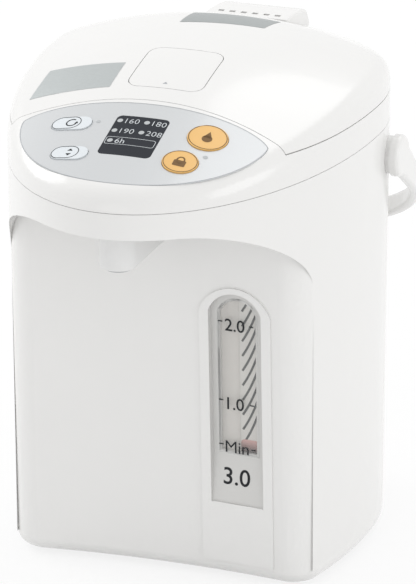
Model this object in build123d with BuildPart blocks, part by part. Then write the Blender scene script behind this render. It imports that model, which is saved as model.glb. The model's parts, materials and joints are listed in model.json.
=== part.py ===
"""Electric thermo pot: a 3 litre hot-water dispenser with a pump, a spout and a hinged lid.

Millimetres. +Z is up, the spout faces -Y and the origin is the centre of the footprint on the table.
"""

import os
from math import atan, cos, radians, sin, sqrt, tan

from build123d import *

os.makedirs("parts", exist_ok=True)

# ---------------------------------------------------------------- driving dimensions
overall_depth = 292.0
overall_width = 212.0
base_draft = 1.0
parting_z = 239.0
seam = 0.3
fit_gap = 0.05
wall = 2.6
body_mid_y = 26.5

# front recess under the nose
face_lean = 10.0
face_bow = 4.5
corner_r = 18.0
corner_outset = 0.3
niche_top_z = 224.5
niche_side = 11.4
niche_corner_r = 50.0

# base
foot_height = 3.0
case_bottom_z = foot_height
bottom_edge_r = 8.0
foot_steps = 4
base_inset = 11.5
base_flange_inset = 20.0
base_flange_t = 2.6
screw_r = 1.5
screw_head_r = 3.0
screw_ring_inset = 15.8
screw_ys = (-26.0, 88.0)

# crown of the lid and of the panel
lid_front_z = 274.0
lid_front_y = -62.0
lid_corner_y = -75.0
lid_corner_side = 14.4
panel_angle = 16.7
rear_angle = 19.8
front_crown_r = 345.0
rear_crown_r = 110.0
cross_crown_r = 255.0
rim_r = 14.0
lid_edge_z = 256.0
lid_wall = 2.6
lid_gap = 0.5

# inner container
tank_y = 40.0
tank_wall = 1.0
tank_floor_z = 59.0
tank_corner_r = 12.0
tank_neck_r = 73.0
tank_neck_z = 205.0
tank_rim_z = 234.6
tank_rim_width = 6.0
tank_step = 9.5
wrap_t = 1.5
tank_side_room = 14.9
tank_rear_room = 8.0
tube_room = 2.0
face_room = 11.0
channel_room = 6.8

# lid well in the shoulder
well_lip = 4.8
well_wall = 2.4
deck_t = 2.4
web_z = 236.4
web_t = 2.4

# hinge
hinge_set_in = 11.5
hinge_z = 262.3
barrel_r = 5.2
barrel_half = 16.4
ear_inner = 17.0
ear_outer = 21.5
ear_leg = 0.5
ear_clear = 0.6
rear_notch_drop = 5.3
hinge_pin_r = 2.0

# spout
spout_set_back = 27.0
spout_width = 20.0
spout_bottom_z = 200.6
spout_bore_r = 3.8
pipe_r = 4.6
pipe_bore_r = 3.4

# handle
pivot_y = 47.0
pivot_z = 220.0
pivot_r = 5.0
arm_rest_angle = 38.0
arm_gap = 1.8
bail_thickness = 5.4
bail_root_height = 19.0
bail_height = 12.0
bail_round = 2.2
bail_straight = 32.0
bail_taper = 45.0
bail_boss_r = 11.6
bail_rear_room = 14.5
pad_r = 10.4
pad_depth = 4.4

# heater under the container
heater_r = 56.0
heater_bore_r = 12.0
heater_t = 3.0

# outlet pipe and spout details
pipe_z = 234.0
pipe_bend_r = 11.0
pipe_bottom_z = 204.0
spout_wall = 2.0
spout_rear_y = -72.0
nozzle_r = 7.0
scoop_floor_t = 1.4
bezel_proud = 1.0
strip_left = 3.5
strip_right = 12.4
strip_t = 1.2
strip_gap = 0.3
power_board_z = 11.0
foot_r = 8.0
foot_places = ((-54.0, -30.0), (54.0, -30.0), (-38.0, 94.0), (38.0, 94.0))

# power inlet low at the rear
inlet_half_width = 19.0
inlet_bottom_z = 18.0
inlet_top_z = 42.0
inlet_depth = 18.5

# control panel, laid out for a panel of this depth: film, display and the four buttons (x, y, width, height)
panel_drawn_depth = 84.0
film_half_width = 68.4
film_rear_y = -65.6
film_wide_y = -78.2
film_front_y = -135.6
film_t = 0.6
display_half_width = 14.5
display_rear_y = -77.6
display_front_y = -111.6
display_t = 1.6
buttons = {
    "dispense_button": (37.7, -85.1, 21.4, 21.4),
    "lock_button": (30.9, -109.1, 19.0, 19.0),
    "reboil_button": (-38.1, -85.3, 22.6, 11.6),
    "select_button": (-29.5, -112.1, 20.6, 11.6),
}
button_gap = 0.25
button_proud = 0.7
button_flange = 1.5
button_flange_t = 1.2
button_stem_r = 2.0
board_depth = 12.0
board_t = 1.6
board_half_width = 47.5
board_rear_v = -13.0
board_front_v = -60.0
board_posts = ((20.0, -15.5), (44.8, -44.0))
post_r = 2.0
switch_half = 2.5
switch_t = 1.5
press_gap = 1.1

# water gauge on the front face
gauge_x = 44.8
bezel_half_width = 20.8
bezel_top_z = 173.5
bezel_bottom_z = 12.0
scoop_half_width = 15.3
scoop_top_z = 170.3
scoop_bottom_z = 47.0
glass_half_width = 11.8
glass_top_z = 166.5
glass_bottom_z = 75.5
glass_t = 1.2
scoop_depth = 2.9
tunnel_rim = 1.8
gauge_tube_x = 40.0
gauge_tube_r = 5.0
gauge_tube_bore_r = 4.0
gauge_tube_bottom_z = 66.0
gauge_tube_top_z = 212.0

# pump under the tank
pump_x = 4.0
pump_y = -24.0
pump_r = 17.0
pump_wall = 1.6
pump_floor_z = 33.0
pump_floor_t = 2.0
pump_top_z = 46.0
port_r = 4.5
port_bore_r = 3.3
port_top_z = 52.0
outlet_offset = 11.8
outlet_z = 39.7
outlet_end_x = 24.0
impeller_r = 13.6
impeller_t = 6.4
motor_r = 12.5
motor_bottom_z = 7.4
motor_top_z = 25.0
rotor_r = 13.0
rotor_t = 5.5
shaft_r = 1.2
pillar_offset = 21.0
pillar_r = 3.0

# lid
plug_gap = 2.3
plug_wall = 2.0
plug_bottom_z = 243.2
lid_base_t = 2.3
lid_rear_gap = 3.5
lid_gasket_z = 239.1
lid_gasket_step = 0.2
inner_plate_step = 5.5
inner_plate_z = 239.5
inner_plate_t = 1.0
steam_set_back = 47.0
vent_half_width = 24.0
vent_length = 33.0
vent_wall = 2.2
vent_edge_r = 1.2
vent_slots = 6
vent_slot_pitch = 6.6
vent_slot_width = 3.4
vent_slot_length = 3.2
vent_slot_set_back = 4.8

# lid lever and latch
lever_half_width = 21.0
lever_front_y = -50.0
lever_rear_y = -7.0
lever_t = 2.4
lever_corner_r = 7.0
lever_gap = 0.45
lever_pivot_y = -11.0
lever_pivot_z = 279.0
lever_pin_r = 1.5
lever_boss_r = 3.2
bolt_half_width = 8.0
bolt_bottom_z = 258.9
bolt_top_z = 264.2
bolt_rear_y = -32.0
bolt_reach = 2.1
spring_r = 2.0
spring_wire_r = 0.35
spring_turns = 5
spring_stop_y = -18.0
finger_half_width = 4.0
finger_y = -44.0
finger_bottom_z = 263.0

nose_y = -overall_depth / 2
tank_r = tank_neck_r + tank_step
wrap_r = tank_r + wrap_t
body_half_width = tank_r + tank_side_room
body_rear_y = tank_y + tank_r + tank_rear_room
gauge_tube_y = tank_y - wrap_r - tube_room
channel_rear_y = gauge_tube_y + channel_room
face_base_y = gauge_tube_y - face_room
niche_half_width = body_half_width - niche_side
lid_corner_x = body_half_width - lid_corner_side
well_r = tank_neck_r + well_lip
plug_r = well_r - plug_gap
lid_gasket_r = plug_r - lid_gasket_step
inner_plate_r = plug_r - inner_plate_step
hinge_y = body_rear_y - hinge_set_in
lid_rear_y = hinge_y - lid_rear_gap
vent_front_y = hinge_y - vent_length
inlet_front_y = body_rear_y - inlet_depth
steam_y = hinge_y - steam_set_back
spout_y = nose_y + spout_set_back
arm_inner_x = body_half_width + arm_gap
pad_inner_x = body_half_width - wall - pad_depth
front_reach = body_mid_y - nose_y
rear_reach = body_rear_y - body_mid_y
face_top_y = face_base_y - face_lean
lid_arc_r = (lid_corner_x**2 + (lid_front_y - lid_corner_y) ** 2) / (2 * (lid_front_y - lid_corner_y))
lid_arc_y = lid_front_y - lid_arc_r
panel_slope = radians(panel_angle)
rear_slope = radians(rear_angle)
crown_y = lid_front_y + front_crown_r * sin(panel_slope)
crown_z = lid_front_z + front_crown_r * (1 - cos(panel_slope))
rear_line_y = crown_y + rear_crown_r * sin(rear_slope)
rear_line_z = crown_z - rear_crown_r * (1 - cos(rear_slope))
panel_share = (lid_front_y - nose_y) / panel_drawn_depth


def half_width_at(y, inset=0.0):
    """Half width of the oval plan at a depth y, for an outline set in by inset."""
    reach = (front_reach if y < body_mid_y else rear_reach) - inset
    return (body_half_width - inset) * sqrt(max(0.0, 1 - ((y - body_mid_y) / reach) ** 2))


def face_y_at(z):
    """Depth of the front face's corners at a height; the face leans out towards the top."""
    return face_base_y - face_lean * (z - case_bottom_z) / (parting_z - case_bottom_z)


def crown_height(y):
    """Height of the crown line over the middle of the pot."""
    if y < lid_front_y:
        return lid_front_z - (lid_front_y - y) * tan(panel_slope)
    if y < crown_y:
        return crown_z - front_crown_r + sqrt(front_crown_r**2 - (crown_y - y) ** 2)
    if y < rear_line_y:
        return crown_z - rear_crown_r + sqrt(rear_crown_r**2 - (y - crown_y) ** 2)
    return rear_line_z - (y - rear_line_y) * tan(rear_slope)


def crown_drop(x):
    """How far the crown falls away to the side."""
    return cross_crown_r - sqrt(cross_crown_r**2 - x * x)


# ---------------------------------------------------------------- shared outlines
def oval(inset):
    """Plan of the pot: two half ellipses, longer to the front."""
    with BuildSketch() as outline:
        with BuildLine():
            EllipticalCenterArc(
                (0, body_mid_y), body_half_width - inset, front_reach - inset, start_angle=180, arc_size=180
            )
            EllipticalCenterArc(
                (0, body_mid_y), body_half_width - inset, rear_reach - inset, start_angle=0, arc_size=180
            )
        make_face()
    return outline.sketch


def corner_centre(face_y, draft):
    """Where the front corner's arc has to be centred to run into the side wall."""
    lean = 0.3
    for _ in range(20):
        contact_y = face_y + corner_r - corner_r * sin(lean)
        share = (body_mid_y - contact_y) / (front_reach - draft)
        slope = (body_half_width - draft) / (front_reach - draft) * share / sqrt(1 - share**2)
        lean = atan(slope)
    contact_x = half_width_at(contact_y, draft)
    return contact_x - corner_r * cos(lean) + corner_outset, lean


def front_clearing(face_y, draft, inset):
    """Everything in front of the bowed front face, in plan, with the two corners rounded."""
    corner_x, lean = corner_centre(face_y, draft)
    radius = corner_r - inset
    centre_y = face_y + corner_r
    middle = (lean + radians(90)) / 2
    start = (corner_x, face_y + inset)
    halfway = (corner_x + radius * cos(middle), centre_y - radius * sin(middle))
    end = (corner_x + radius * cos(lean), centre_y - radius * sin(lean))
    run = 60.0
    outer = (end[0] + run * sin(lean), end[1] + run * cos(lean))
    far_y = nose_y - 40
    with BuildSketch() as outline:
        with BuildLine():
            ThreePointArc((-start[0], start[1]), (0, face_y + face_bow + inset), start)
            ThreePointArc(start, halfway, end)
            Polyline(end, outer, (outer[0], far_y), (-outer[0], far_y), (-outer[0], outer[1]),
                     (-end[0], end[1]))
            ThreePointArc((-end[0], end[1]), (-halfway[0], halfway[1]), (-start[0], start[1]))
        make_face()
    return outline.sketch


def niche_form(inset):
    """The space under the nose, grown by inset on every side but the floor."""
    top = niche_top_z + inset
    lift = 40.0
    with BuildPart() as form:
        with BuildSketch(Plane.XY.offset(case_bottom_z)):
            add(front_clearing(face_base_y, base_draft, inset))
        with BuildSketch(Plane.XY.offset(parting_z)):
            add(front_clearing(face_top_y, 0, inset))
        loft(ruled=True)
        with BuildSketch(Plane.XZ):
            with Locations((0, (top - lift) / 2)):
                arch = Rectangle(2 * (niche_half_width + inset), top + lift)
            fillet(arch.vertices().group_by(Axis.Y)[-1], niche_corner_r + inset)
        extrude(amount=overall_depth, both=True, mode=Mode.INTERSECT)
    return form.part


def drafted_oval(inset, bottom, top):
    """The oval wall between two heights, with its draft."""
    share = (parting_z - bottom) / (parting_z - case_bottom_z)
    with BuildPart() as form:
        with BuildSketch(Plane.XY.offset(bottom)):
            add(oval(inset + base_draft * share))
        with BuildSketch(Plane.XY.offset(top)):
            add(oval(inset))
        loft(ruled=True)
    return form.part


def crown_form(drop):
    """Everything under the crowned top surface, lowered by drop."""
    half = overall_width / 2 + 9
    depth = 85.0
    side = crown_drop(half)
    reach = 120.0
    with BuildPart() as form:
        with BuildLine(Plane.YZ.offset(0)) as ridge:
            front = (lid_front_y, lid_front_z - drop)
            crown = (crown_y, crown_z - drop)
            rear = (rear_line_y, rear_line_z - drop)
            Line((front[0] - reach * cos(panel_slope), front[1] - reach * sin(panel_slope)), front)
            RadiusArc(front, crown, front_crown_r)
            RadiusArc(crown, rear, rear_crown_r)
            Line(rear, (rear[0] + reach * cos(rear_slope), rear[1] - reach * sin(rear_slope)))
        with BuildSketch(Plane(origin=ridge.line @ 0, x_dir=(-1, 0, 0), z_dir=ridge.line % 0)):
            with BuildLine():
                ThreePointArc((-half, -side), (0, 0), (half, -side))
                Polyline((half, -side), (half, -depth), (-half, -depth), (-half, -side))
            make_face()
        sweep()
    return form.part


def box_between(x0, x1, y0, y1, z0, z1):
    """A plain block between two corners, for cuts and limits."""
    with BuildPart() as block:
        with Locations(((x0 + x1) / 2, (y0 + y1) / 2, (z0 + z1) / 2)):
            Box(x1 - x0, y1 - y0, z1 - z0)
    return block.part


def rod(x, y, z0, z1, radius):
    """An upright cylinder between two heights."""
    with BuildPart() as bar:
        with BuildSketch(Plane.XY.offset(z0)):
            with Locations((x, y)):
                Circle(radius)
        extrude(amount=z1 - z0)
    return bar.part


def cross_rod(x0, x1, y, z, radius):
    """A cylinder along X between two sides."""
    with BuildPart() as bar:
        with BuildSketch(Plane.YZ.offset(x0)):
            with Locations((y, z)):
                Circle(radius)
        extrude(amount=x1 - x0)
    return bar.part


def arch_outline(half, top, bottom):
    """A tall window with an arched top, drawn on the gauge plane; heights are measured on the pot."""
    rise = half * 0.7
    shoulder_v = top - rise - gauge_mid_z
    with BuildSketch() as outline:
        with BuildLine():
            ThreePointArc((-half, shoulder_v), (0, top - gauge_mid_z), (half, shoulder_v))
            Polyline((half, shoulder_v), (half, bottom - gauge_mid_z), (-half, bottom - gauge_mid_z),
                     (-half, shoulder_v))
        make_face()
    return outline.sketch


def panel_v(x, y):
    """Distance up the panel, from the lid line, of the laid-out point (x, y)."""
    return ((y - lid_front_y) * panel_share - crown_drop(x) * sin(panel_slope)) / cos(panel_slope)


panel_plane = Plane(
    origin=(0, lid_front_y, lid_front_z), x_dir=(1, 0, 0), z_dir=(0, -sin(panel_slope), cos(panel_slope))
)
gauge_mid_z = 100.0
corner_mid_x = corner_centre(face_y_at(gauge_mid_z), 0)[0]
gauge_tilt_x = -2 * face_bow * gauge_x / corner_mid_x**2
gauge_tilt_z = -face_lean / (parting_z - case_bottom_z)
gauge_plane = Plane(
    origin=(gauge_x, face_y_at(gauge_mid_z) + face_bow * (1 - (gauge_x / corner_mid_x) ** 2), gauge_mid_z),
    x_dir=(1, gauge_tilt_x, 0),
    z_dir=(gauge_tilt_x, -1, gauge_tilt_z),
)
screw_places = [
    (side * half_width_at(y, base_draft + screw_ring_inset), y) for y in screw_ys for side in (-1, 1)
]

def rim_edges(form):
    """The edges where the crown meets the upright wall."""
    upright = form.faces().filter_by(lambda f: abs(f.normal_at(f.center()).Z) < 0.2)
    crowned = form.faces().filter_by(lambda f: f.normal_at(f.center()).Z > 0.3)
    return [
        e
        for e in form.edges()
        if any(e.is_same(s) for f in upright for s in f.edges())
        and any(e.is_same(s) for f in crowned for s in f.edges())
    ]


gauge_side_plane = Plane(origin=gauge_plane.origin, x_dir=-gauge_plane.z_dir, z_dir=gauge_plane.x_dir)

crown_outside = crown_form(0)
with BuildPart() as top_outside:
    with BuildSketch(Plane.XY.offset(parting_z)):
        add(oval(0))
    extrude(amount=70)
    add(crown_outside, mode=Mode.INTERSECT)
    fillet(rim_edges(top_outside.part), rim_r)

with BuildPart() as top_inside:
    with BuildSketch(Plane.XY.offset(parting_z - 10)):
        add(oval(wall))
    extrude(amount=80)
    add(crown_form(wall), mode=Mode.INTERSECT)
    fillet(rim_edges(top_inside.part), rim_r - wall)


def behind_lid_line(offset):
    """Everything behind the lid's curved front edge, moved forward by offset."""
    far = overall_depth
    radius = lid_arc_r - offset
    with BuildPart() as region:
        with BuildSketch(Plane.XY.offset(parting_z - 20)):
            with Locations((0, far / 2 + lid_corner_y - 40)):
                Rectangle(overall_width * 1.2, far)
            with Locations((0, lid_arc_y)):
                Circle(radius, mode=Mode.SUBTRACT)
        extrude(amount=100)
    return region.part


def crown_below(drop):
    """Everything under the crowned top surface, lowered by drop."""
    return Pos(0, 0, -drop) * crown_outside


def panel_prism(outline):
    """A prism square to the panel plane through an outline drawn on it."""
    with BuildPart() as prism:
        with BuildSketch(panel_plane.offset(-14)):
            add(outline)
        extrude(amount=30)
    return prism.part


def film_outline(grow):
    """The oval outline of the control film on the panel plane."""
    half = film_half_width + grow
    rear = panel_v(0, film_rear_y) + grow
    wide = panel_v(film_half_width, film_wide_y)
    front = panel_v(0, film_front_y) - grow
    with BuildSketch() as outline:
        with BuildLine():
            Bezier((0, front), (0.733 * half, front), (half, wide - 0.235 * (wide - front)), (half, wide))
            Bezier((half, wide), (half, wide + 0.235 * (rear - wide)), (0.776 * half, rear), (0, rear))
            Bezier((0, rear), (-0.776 * half, rear), (-half, wide + 0.235 * (rear - wide)), (-half, wide))
            Bezier((-half, wide), (-half, wide - 0.235 * (wide - front)), (-0.733 * half, front), (0, front))
        make_face()
    return outline.sketch


def display_outline(grow):
    """The display's outline on the panel plane."""
    rear = panel_v(0, display_rear_y)
    front = panel_v(0, display_front_y)
    with BuildSketch() as outline:
        with Locations((0, (rear + front) / 2)):
            RectangleRounded(2 * (display_half_width + grow), rear - front + 2 * grow, 3)
    return outline.sketch


def button_outline(place, grow):
    """A round or oval button's outline on the panel plane."""
    x, y, width, height = place
    across = width * panel_share
    tall = height * panel_share
    with BuildSketch() as outline:
        with Locations((x, panel_v(x, y))):
            if width == height:
                Circle(across / 2 + grow)
            else:
                SlotOverall(across + 2 * grow, tall + 2 * grow)
    return outline.sketch


# ---------------------------------------------------------------- outer case
niche_outside = niche_form(0)
with BuildPart() as niche_foot:
    for step in range(foot_steps + 1):
        turn = radians(90) * step / foot_steps
        rise = bottom_edge_r * (1 - cos(turn))
        set_back = bottom_edge_r * (1 - sin(turn))
        with BuildSketch(Plane.XY.offset(case_bottom_z + rise)):
            add(front_clearing(face_y_at(case_bottom_z + rise), base_draft, set_back))
    loft()

cavity_z = case_bottom_z + bottom_edge_r * 0.65
with BuildPart() as case_cavity:
    add(drafted_oval(wall, cavity_z, parting_z))
    add(niche_form(wall), mode=Mode.SUBTRACT)

with BuildPart() as base_opening:
    add(drafted_oval(base_flange_inset, case_bottom_z - 1, cavity_z + 1))
    add(
        box_between(-overall_width, overall_width, -overall_depth, face_base_y + base_flange_inset, 0, 30),
        mode=Mode.SUBTRACT,
    )

with BuildPart() as base_rebate:
    add(drafted_oval(base_inset, case_bottom_z - 1, cavity_z - base_flange_t))
    add(
        box_between(-overall_width, overall_width, -overall_depth, face_base_y + base_inset, 0, 30),
        mode=Mode.SUBTRACT,
    )

with BuildPart() as outer_case:
    add(drafted_oval(0, case_bottom_z, parting_z - seam))
    fillet(outer_case.faces().sort_by(Axis.Z)[0].edges(), bottom_edge_r)
    add(niche_outside, mode=Mode.SUBTRACT)
    add(niche_foot.part, mode=Mode.SUBTRACT)
    add(case_cavity.part, mode=Mode.SUBTRACT)
    add(base_opening.part, mode=Mode.SUBTRACT)
    add(base_rebate.part, mode=Mode.SUBTRACT)
    # slot for the gauge tunnel
    with BuildSketch(gauge_plane):
        add(arch_outline(scoop_half_width + tunnel_rim + seam, scoop_top_z + tunnel_rim + seam,
                         scoop_bottom_z - tunnel_rim - seam))
    extrude(amount=8, both=True, mode=Mode.SUBTRACT)
    # hole in the floor of the nose for the outlet pipe
    add(rod(0, spout_y, niche_top_z - 2, niche_top_z + wall + 2, spout_bore_r + 3.0), mode=Mode.SUBTRACT)
    # pivot pads and the holes for the handle studs
    for side in (-1, 1):
        with BuildSketch(Plane.YZ.offset(side * pad_inner_x)):
            with Locations((pivot_y, pivot_z)):
                Circle(pad_r)
        extrude(amount=side * (arm_inner_x - seam - pad_inner_x))
        with BuildSketch(Plane.YZ.offset(side * (body_half_width - 12))):
            with Locations((pivot_y, pivot_z)):
                Circle(pivot_r + fit_gap)
        extrude(amount=side * 30, mode=Mode.SUBTRACT)
    # rear opening for the power inlet
    add(box_between(-inlet_half_width - seam, inlet_half_width + seam, body_rear_y - 12, body_rear_y + 5,
                    inlet_bottom_z - seam, inlet_top_z + seam), mode=Mode.SUBTRACT)
    # bosses for the base screws
    for x, y in screw_places:
        add(rod(x, y, cavity_z - 0.5, cavity_z + 12, screw_r + 2.2))
        add(rod(x, y, 0, cavity_z + 11, screw_r + fit_gap), mode=Mode.SUBTRACT)
outer_case.part.label = "outer_case"
export_step(outer_case.part, "parts/outer_case.step")


# ---------------------------------------------------------------- shoulder with the panel and the lid well
deck_z = lid_edge_z - lid_gap
rear_step_z = hinge_z + 0.2
notch_half = vent_half_width + ear_clear
rear_notch_z = hinge_z - rear_notch_drop
with BuildPart() as lid_space:
    add(behind_lid_line(lid_gap))
    add(box_between(-200, 200, -200, 200, 0, deck_z), mode=Mode.SUBTRACT)
    add(box_between(-200, -notch_half, hinge_y + 0.6, 200, 0, rear_step_z), mode=Mode.SUBTRACT)
    add(box_between(notch_half, 200, hinge_y + 0.6, 200, 0, rear_step_z), mode=Mode.SUBTRACT)
    add(box_between(-notch_half - 1, notch_half + 1, hinge_y + 8.2, 200, 0, rear_notch_z), mode=Mode.SUBTRACT)

with BuildPart() as top_solid:
    add(behind_lid_line(lid_gap + wall))
    add(box_between(-200, 200, -200, 200, 0, deck_z - deck_t), mode=Mode.SUBTRACT)

with BuildPart() as top_hollow:
    add(top_inside.part)
    add(top_solid.part, mode=Mode.SUBTRACT)

with BuildPart() as well_ring:
    with BuildSketch(Plane.XY.offset(web_z)):
        with Locations((0, tank_y)):
            Circle(well_r + well_wall)
    extrude(amount=deck_z - web_z)
    add(rod(0, tank_y, web_z + web_t, deck_z + 1, well_r), mode=Mode.SUBTRACT)
    add(rod(0, tank_y, web_z - 1, deck_z + 1, tank_neck_r), mode=Mode.SUBTRACT)

with BuildPart() as tongue:
    with BuildSketch(Plane.XY.offset(parting_z - 6)):
        add(oval(wall + seam))
        add(oval(wall + seam + 2), mode=Mode.SUBTRACT)
    extrude(amount=7.5)
    with BuildSketch(Plane.XY.offset(parting_z)):
        add(oval(0.6))
        add(oval(wall + seam + 2), mode=Mode.SUBTRACT)
    extrude(amount=2)

with BuildPart() as film_recess:
    add(panel_prism(film_outline(0.15)))
    add(crown_below(film_t), mode=Mode.SUBTRACT)

with BuildPart() as display_recess:
    add(panel_prism(display_outline(0.15)))
    add(crown_below(display_t), mode=Mode.SUBTRACT)

with BuildPart() as hinge_ears:
    for side in (-1, 1):
        add(cross_rod(side * ear_inner, side * ear_outer, hinge_y, hinge_z, barrel_r))
        add(box_between(min(side * ear_inner, side * ear_outer), max(side * ear_inner, side * ear_outer),
                        hinge_y - barrel_r, hinge_y + ear_leg, deck_z - 1, hinge_z))

with BuildPart() as shoulder:
    add(top_outside.part)
    add(top_hollow.part, mode=Mode.SUBTRACT)
    add(lid_space.part, mode=Mode.SUBTRACT)
    add(rod(0, tank_y, 200, deck_z + 5, well_r + 1), mode=Mode.SUBTRACT)
    add(well_ring.part)
    add(tongue.part)
    add(hinge_ears.part)
    add(cross_rod(-ear_outer - 1, ear_outer + 1, hinge_y, hinge_z, hinge_pin_r + fit_gap), mode=Mode.SUBTRACT)
    add(film_recess.part, mode=Mode.SUBTRACT)
    add(display_recess.part, mode=Mode.SUBTRACT)
    add(panel_prism(display_outline(-1.5)), mode=Mode.SUBTRACT)
    for place in buttons.values():
        add(panel_prism(button_outline(place, button_gap)), mode=Mode.SUBTRACT)
    # strike hole for the latch
    add(box_between(-bolt_half_width - 1, bolt_half_width + 1, lid_front_y - lid_gap - wall - 1, lid_front_y,
                    bolt_bottom_z - 0.5, bolt_top_z + 0.5), mode=Mode.SUBTRACT)
    # posts that carry the control board
    for u, v in board_posts:
        for side in (-1, 1):
            with BuildSketch(panel_plane.offset(-board_depth)):
                with Locations((side * u, v * panel_share)):
                    Circle(post_r)
            extrude(amount=board_depth - wall + 0.8 - crown_drop(u))
shoulder.part.label = "shoulder"
export_step(shoulder.part, "parts/shoulder.step")

# ---------------------------------------------------------------- control panel
with BuildPart() as control_film:
    add(panel_prism(film_outline(0)))
    add(crown_outside, mode=Mode.INTERSECT)
    add(crown_below(film_t), mode=Mode.SUBTRACT)
    add(panel_prism(display_outline(0.15)), mode=Mode.SUBTRACT)
    for place in buttons.values():
        add(panel_prism(button_outline(place, button_gap)), mode=Mode.SUBTRACT)
control_film.part.label = "control_film"
export_step(control_film.part, "parts/control_film.step")

with BuildPart() as display_window:
    add(panel_prism(display_outline(0)))
    add(crown_outside, mode=Mode.INTERSECT)
    add(crown_below(display_t), mode=Mode.SUBTRACT)
display_window.part.label = "display_window"
export_step(display_window.part, "parts/display_window.step")

flange_drop = wall + 0.4


def button_flange_form(place):
    """The flange under the panel that keeps a button in."""
    with BuildPart() as flange:
        add(panel_prism(button_outline(place, button_flange)))
        add(crown_below(flange_drop), mode=Mode.INTERSECT)
        add(crown_below(flange_drop + button_flange_t), mode=Mode.SUBTRACT)
    return flange.part


for name, place in buttons.items():
    flange_part = button_flange_form(place)
    with BuildPart() as button:
        add(panel_prism(button_outline(place, 0)))
        add(crown_below(-button_proud), mode=Mode.INTERSECT)
        add(crown_below(flange_drop + 0.3), mode=Mode.SUBTRACT)
        add(flange_part)
        with BuildSketch(panel_plane.offset(-board_depth + switch_t + press_gap)):
            with Locations((place[0], panel_v(place[0], place[1]))):
                Circle(button_stem_r)
        extrude(amount=board_depth - switch_t - press_gap - flange_drop - 0.6 - crown_drop(place[0]))
    button.part.label = name
    export_step(button.part, f"parts/{name}.step")

with BuildPart() as control_board:
    with BuildSketch(panel_plane.offset(-board_depth)):
        with Locations((0, (board_rear_v + board_front_v) / 2 * panel_share)):
            Rectangle(2 * board_half_width, (board_rear_v - board_front_v) * panel_share)
    extrude(amount=-board_t)
    with BuildSketch(panel_plane.offset(-board_depth)):
        for place in buttons.values():
            with Locations((place[0], panel_v(place[0], place[1]))):
                Rectangle(2 * switch_half, 2 * switch_half)
    extrude(amount=switch_t)
    # display module under its window
    with BuildSketch(panel_plane.offset(-board_depth)):
        with Locations((0, panel_v(0, (display_rear_y + display_front_y) / 2))):
            Rectangle(2 * display_half_width - 2, (display_rear_y - display_front_y) * panel_share - 2)
    extrude(amount=board_depth - display_t - 3.2)
control_board.part.label = "control_board"
export_step(control_board.part, "parts/control_board.step")

# ---------------------------------------------------------------- inner container and heater
port_gap = 0.6
with BuildPart() as tank:
    with BuildSketch(Plane.XZ.offset(-tank_y)):
        with BuildLine():
            outer = Polyline(
                (0, tank_floor_z), (tank_r - tank_corner_r, tank_floor_z),
                (tank_r, tank_floor_z + tank_corner_r),
                (tank_r, tank_neck_z - 4), (tank_neck_r, tank_neck_z + 6),
                (tank_neck_r, tank_rim_z - tank_wall),
                (tank_neck_r + tank_rim_width, tank_rim_z - tank_wall),
                (tank_neck_r + tank_rim_width, tank_rim_z),
                (tank_neck_r - tank_wall, tank_rim_z), (tank_neck_r - tank_wall, tank_neck_z + 5.6),
                (tank_r - tank_wall, tank_neck_z - 4.4),
                (tank_r - tank_wall, tank_floor_z + tank_corner_r + 0.4),
                (tank_r - tank_corner_r - 0.4, tank_floor_z + tank_wall), (0, tank_floor_z + tank_wall),
                (0, tank_floor_z),
            )
        make_face()
    revolve(axis=Axis((0, tank_y, 0), (0, 0, 1)))
    add(rod(pump_x, pump_y, port_top_z + port_gap, tank_floor_z + 0.5, port_r))
    add(rod(pump_x, pump_y, port_top_z, tank_floor_z + 5, port_bore_r), mode=Mode.SUBTRACT)
tank.part.label = "tank"
export_step(tank.part, "parts/tank.step")

with BuildPart() as tank_gasket:
    with BuildSketch(Plane.XY.offset(tank_rim_z)):
        with Locations((0, tank_y)):
            Circle(tank_neck_r + tank_rim_width)
            Circle(tank_neck_r + 2, mode=Mode.SUBTRACT)
    extrude(amount=web_z - tank_rim_z)
tank_gasket.part.label = "tank_gasket"
export_step(tank_gasket.part, "parts/tank_gasket.step")

with BuildPart() as heat_wrap:
    with BuildSketch(Plane.XY.offset(tank_floor_z + tank_corner_r + 4)):
        with Locations((0, tank_y)):
            Circle(wrap_r)
            Circle(tank_r + fit_gap, mode=Mode.SUBTRACT)
    extrude(amount=tank_neck_z - 12 - tank_floor_z - tank_corner_r)
heat_wrap.part.label = "heat_wrap"
export_step(heat_wrap.part, "parts/heat_wrap.step")

with BuildPart() as band_heater:
    with BuildSketch(Plane.XY.offset(tank_floor_z - heater_t)):
        with Locations((0, tank_y)):
            Circle(heater_r)
            Circle(heater_bore_r, mode=Mode.SUBTRACT)
    extrude(amount=heater_t)
    for angle in (60, 120):
        x = (heater_r - 6) * cos(radians(angle))
        y = tank_y + (heater_r - 6) * sin(radians(angle))
        add(rod(x, y, tank_floor_z - heater_t - 8, tank_floor_z - heater_t, 2))
band_heater.part.label = "band_heater"
export_step(band_heater.part, "parts/band_heater.step")

with BuildPart() as thermostat:
    with BuildSketch(Plane.XY.offset(tank_floor_z - 7)):
        with Locations((0, tank_y)):
            Circle(8)
    extrude(amount=7)
    with BuildSketch(Plane.XY.offset(tank_floor_z - 9)):
        with Locations((-5, tank_y), (5, tank_y)):
            Rectangle(1, 5)
    extrude(amount=2)
thermostat.part.label = "thermostat"
export_step(thermostat.part, "parts/thermostat.step")

# ---------------------------------------------------------------- pump and water path
base_plate_z = case_bottom_z + 0.4
base_top_z = cavity_z - base_flange_t
with BuildPart() as pump_base:
    with BuildSketch(Plane.XY.offset(pump_floor_z)):
        with Locations((pump_x, pump_y)):
            Circle(pump_r)
            with Locations((-pillar_offset, 0), (pillar_offset, 0)):
                Circle(pillar_r + 1.5)
            Rectangle(2 * pillar_offset, 8)
    extrude(amount=pump_floor_t)
    add(rod(pump_x, pump_y, pump_floor_z, pump_top_z - pump_wall - 0.4, shaft_r))
pump_base.part.label = "pump_base"
export_step(pump_base.part, "parts/pump_base.step")

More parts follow.
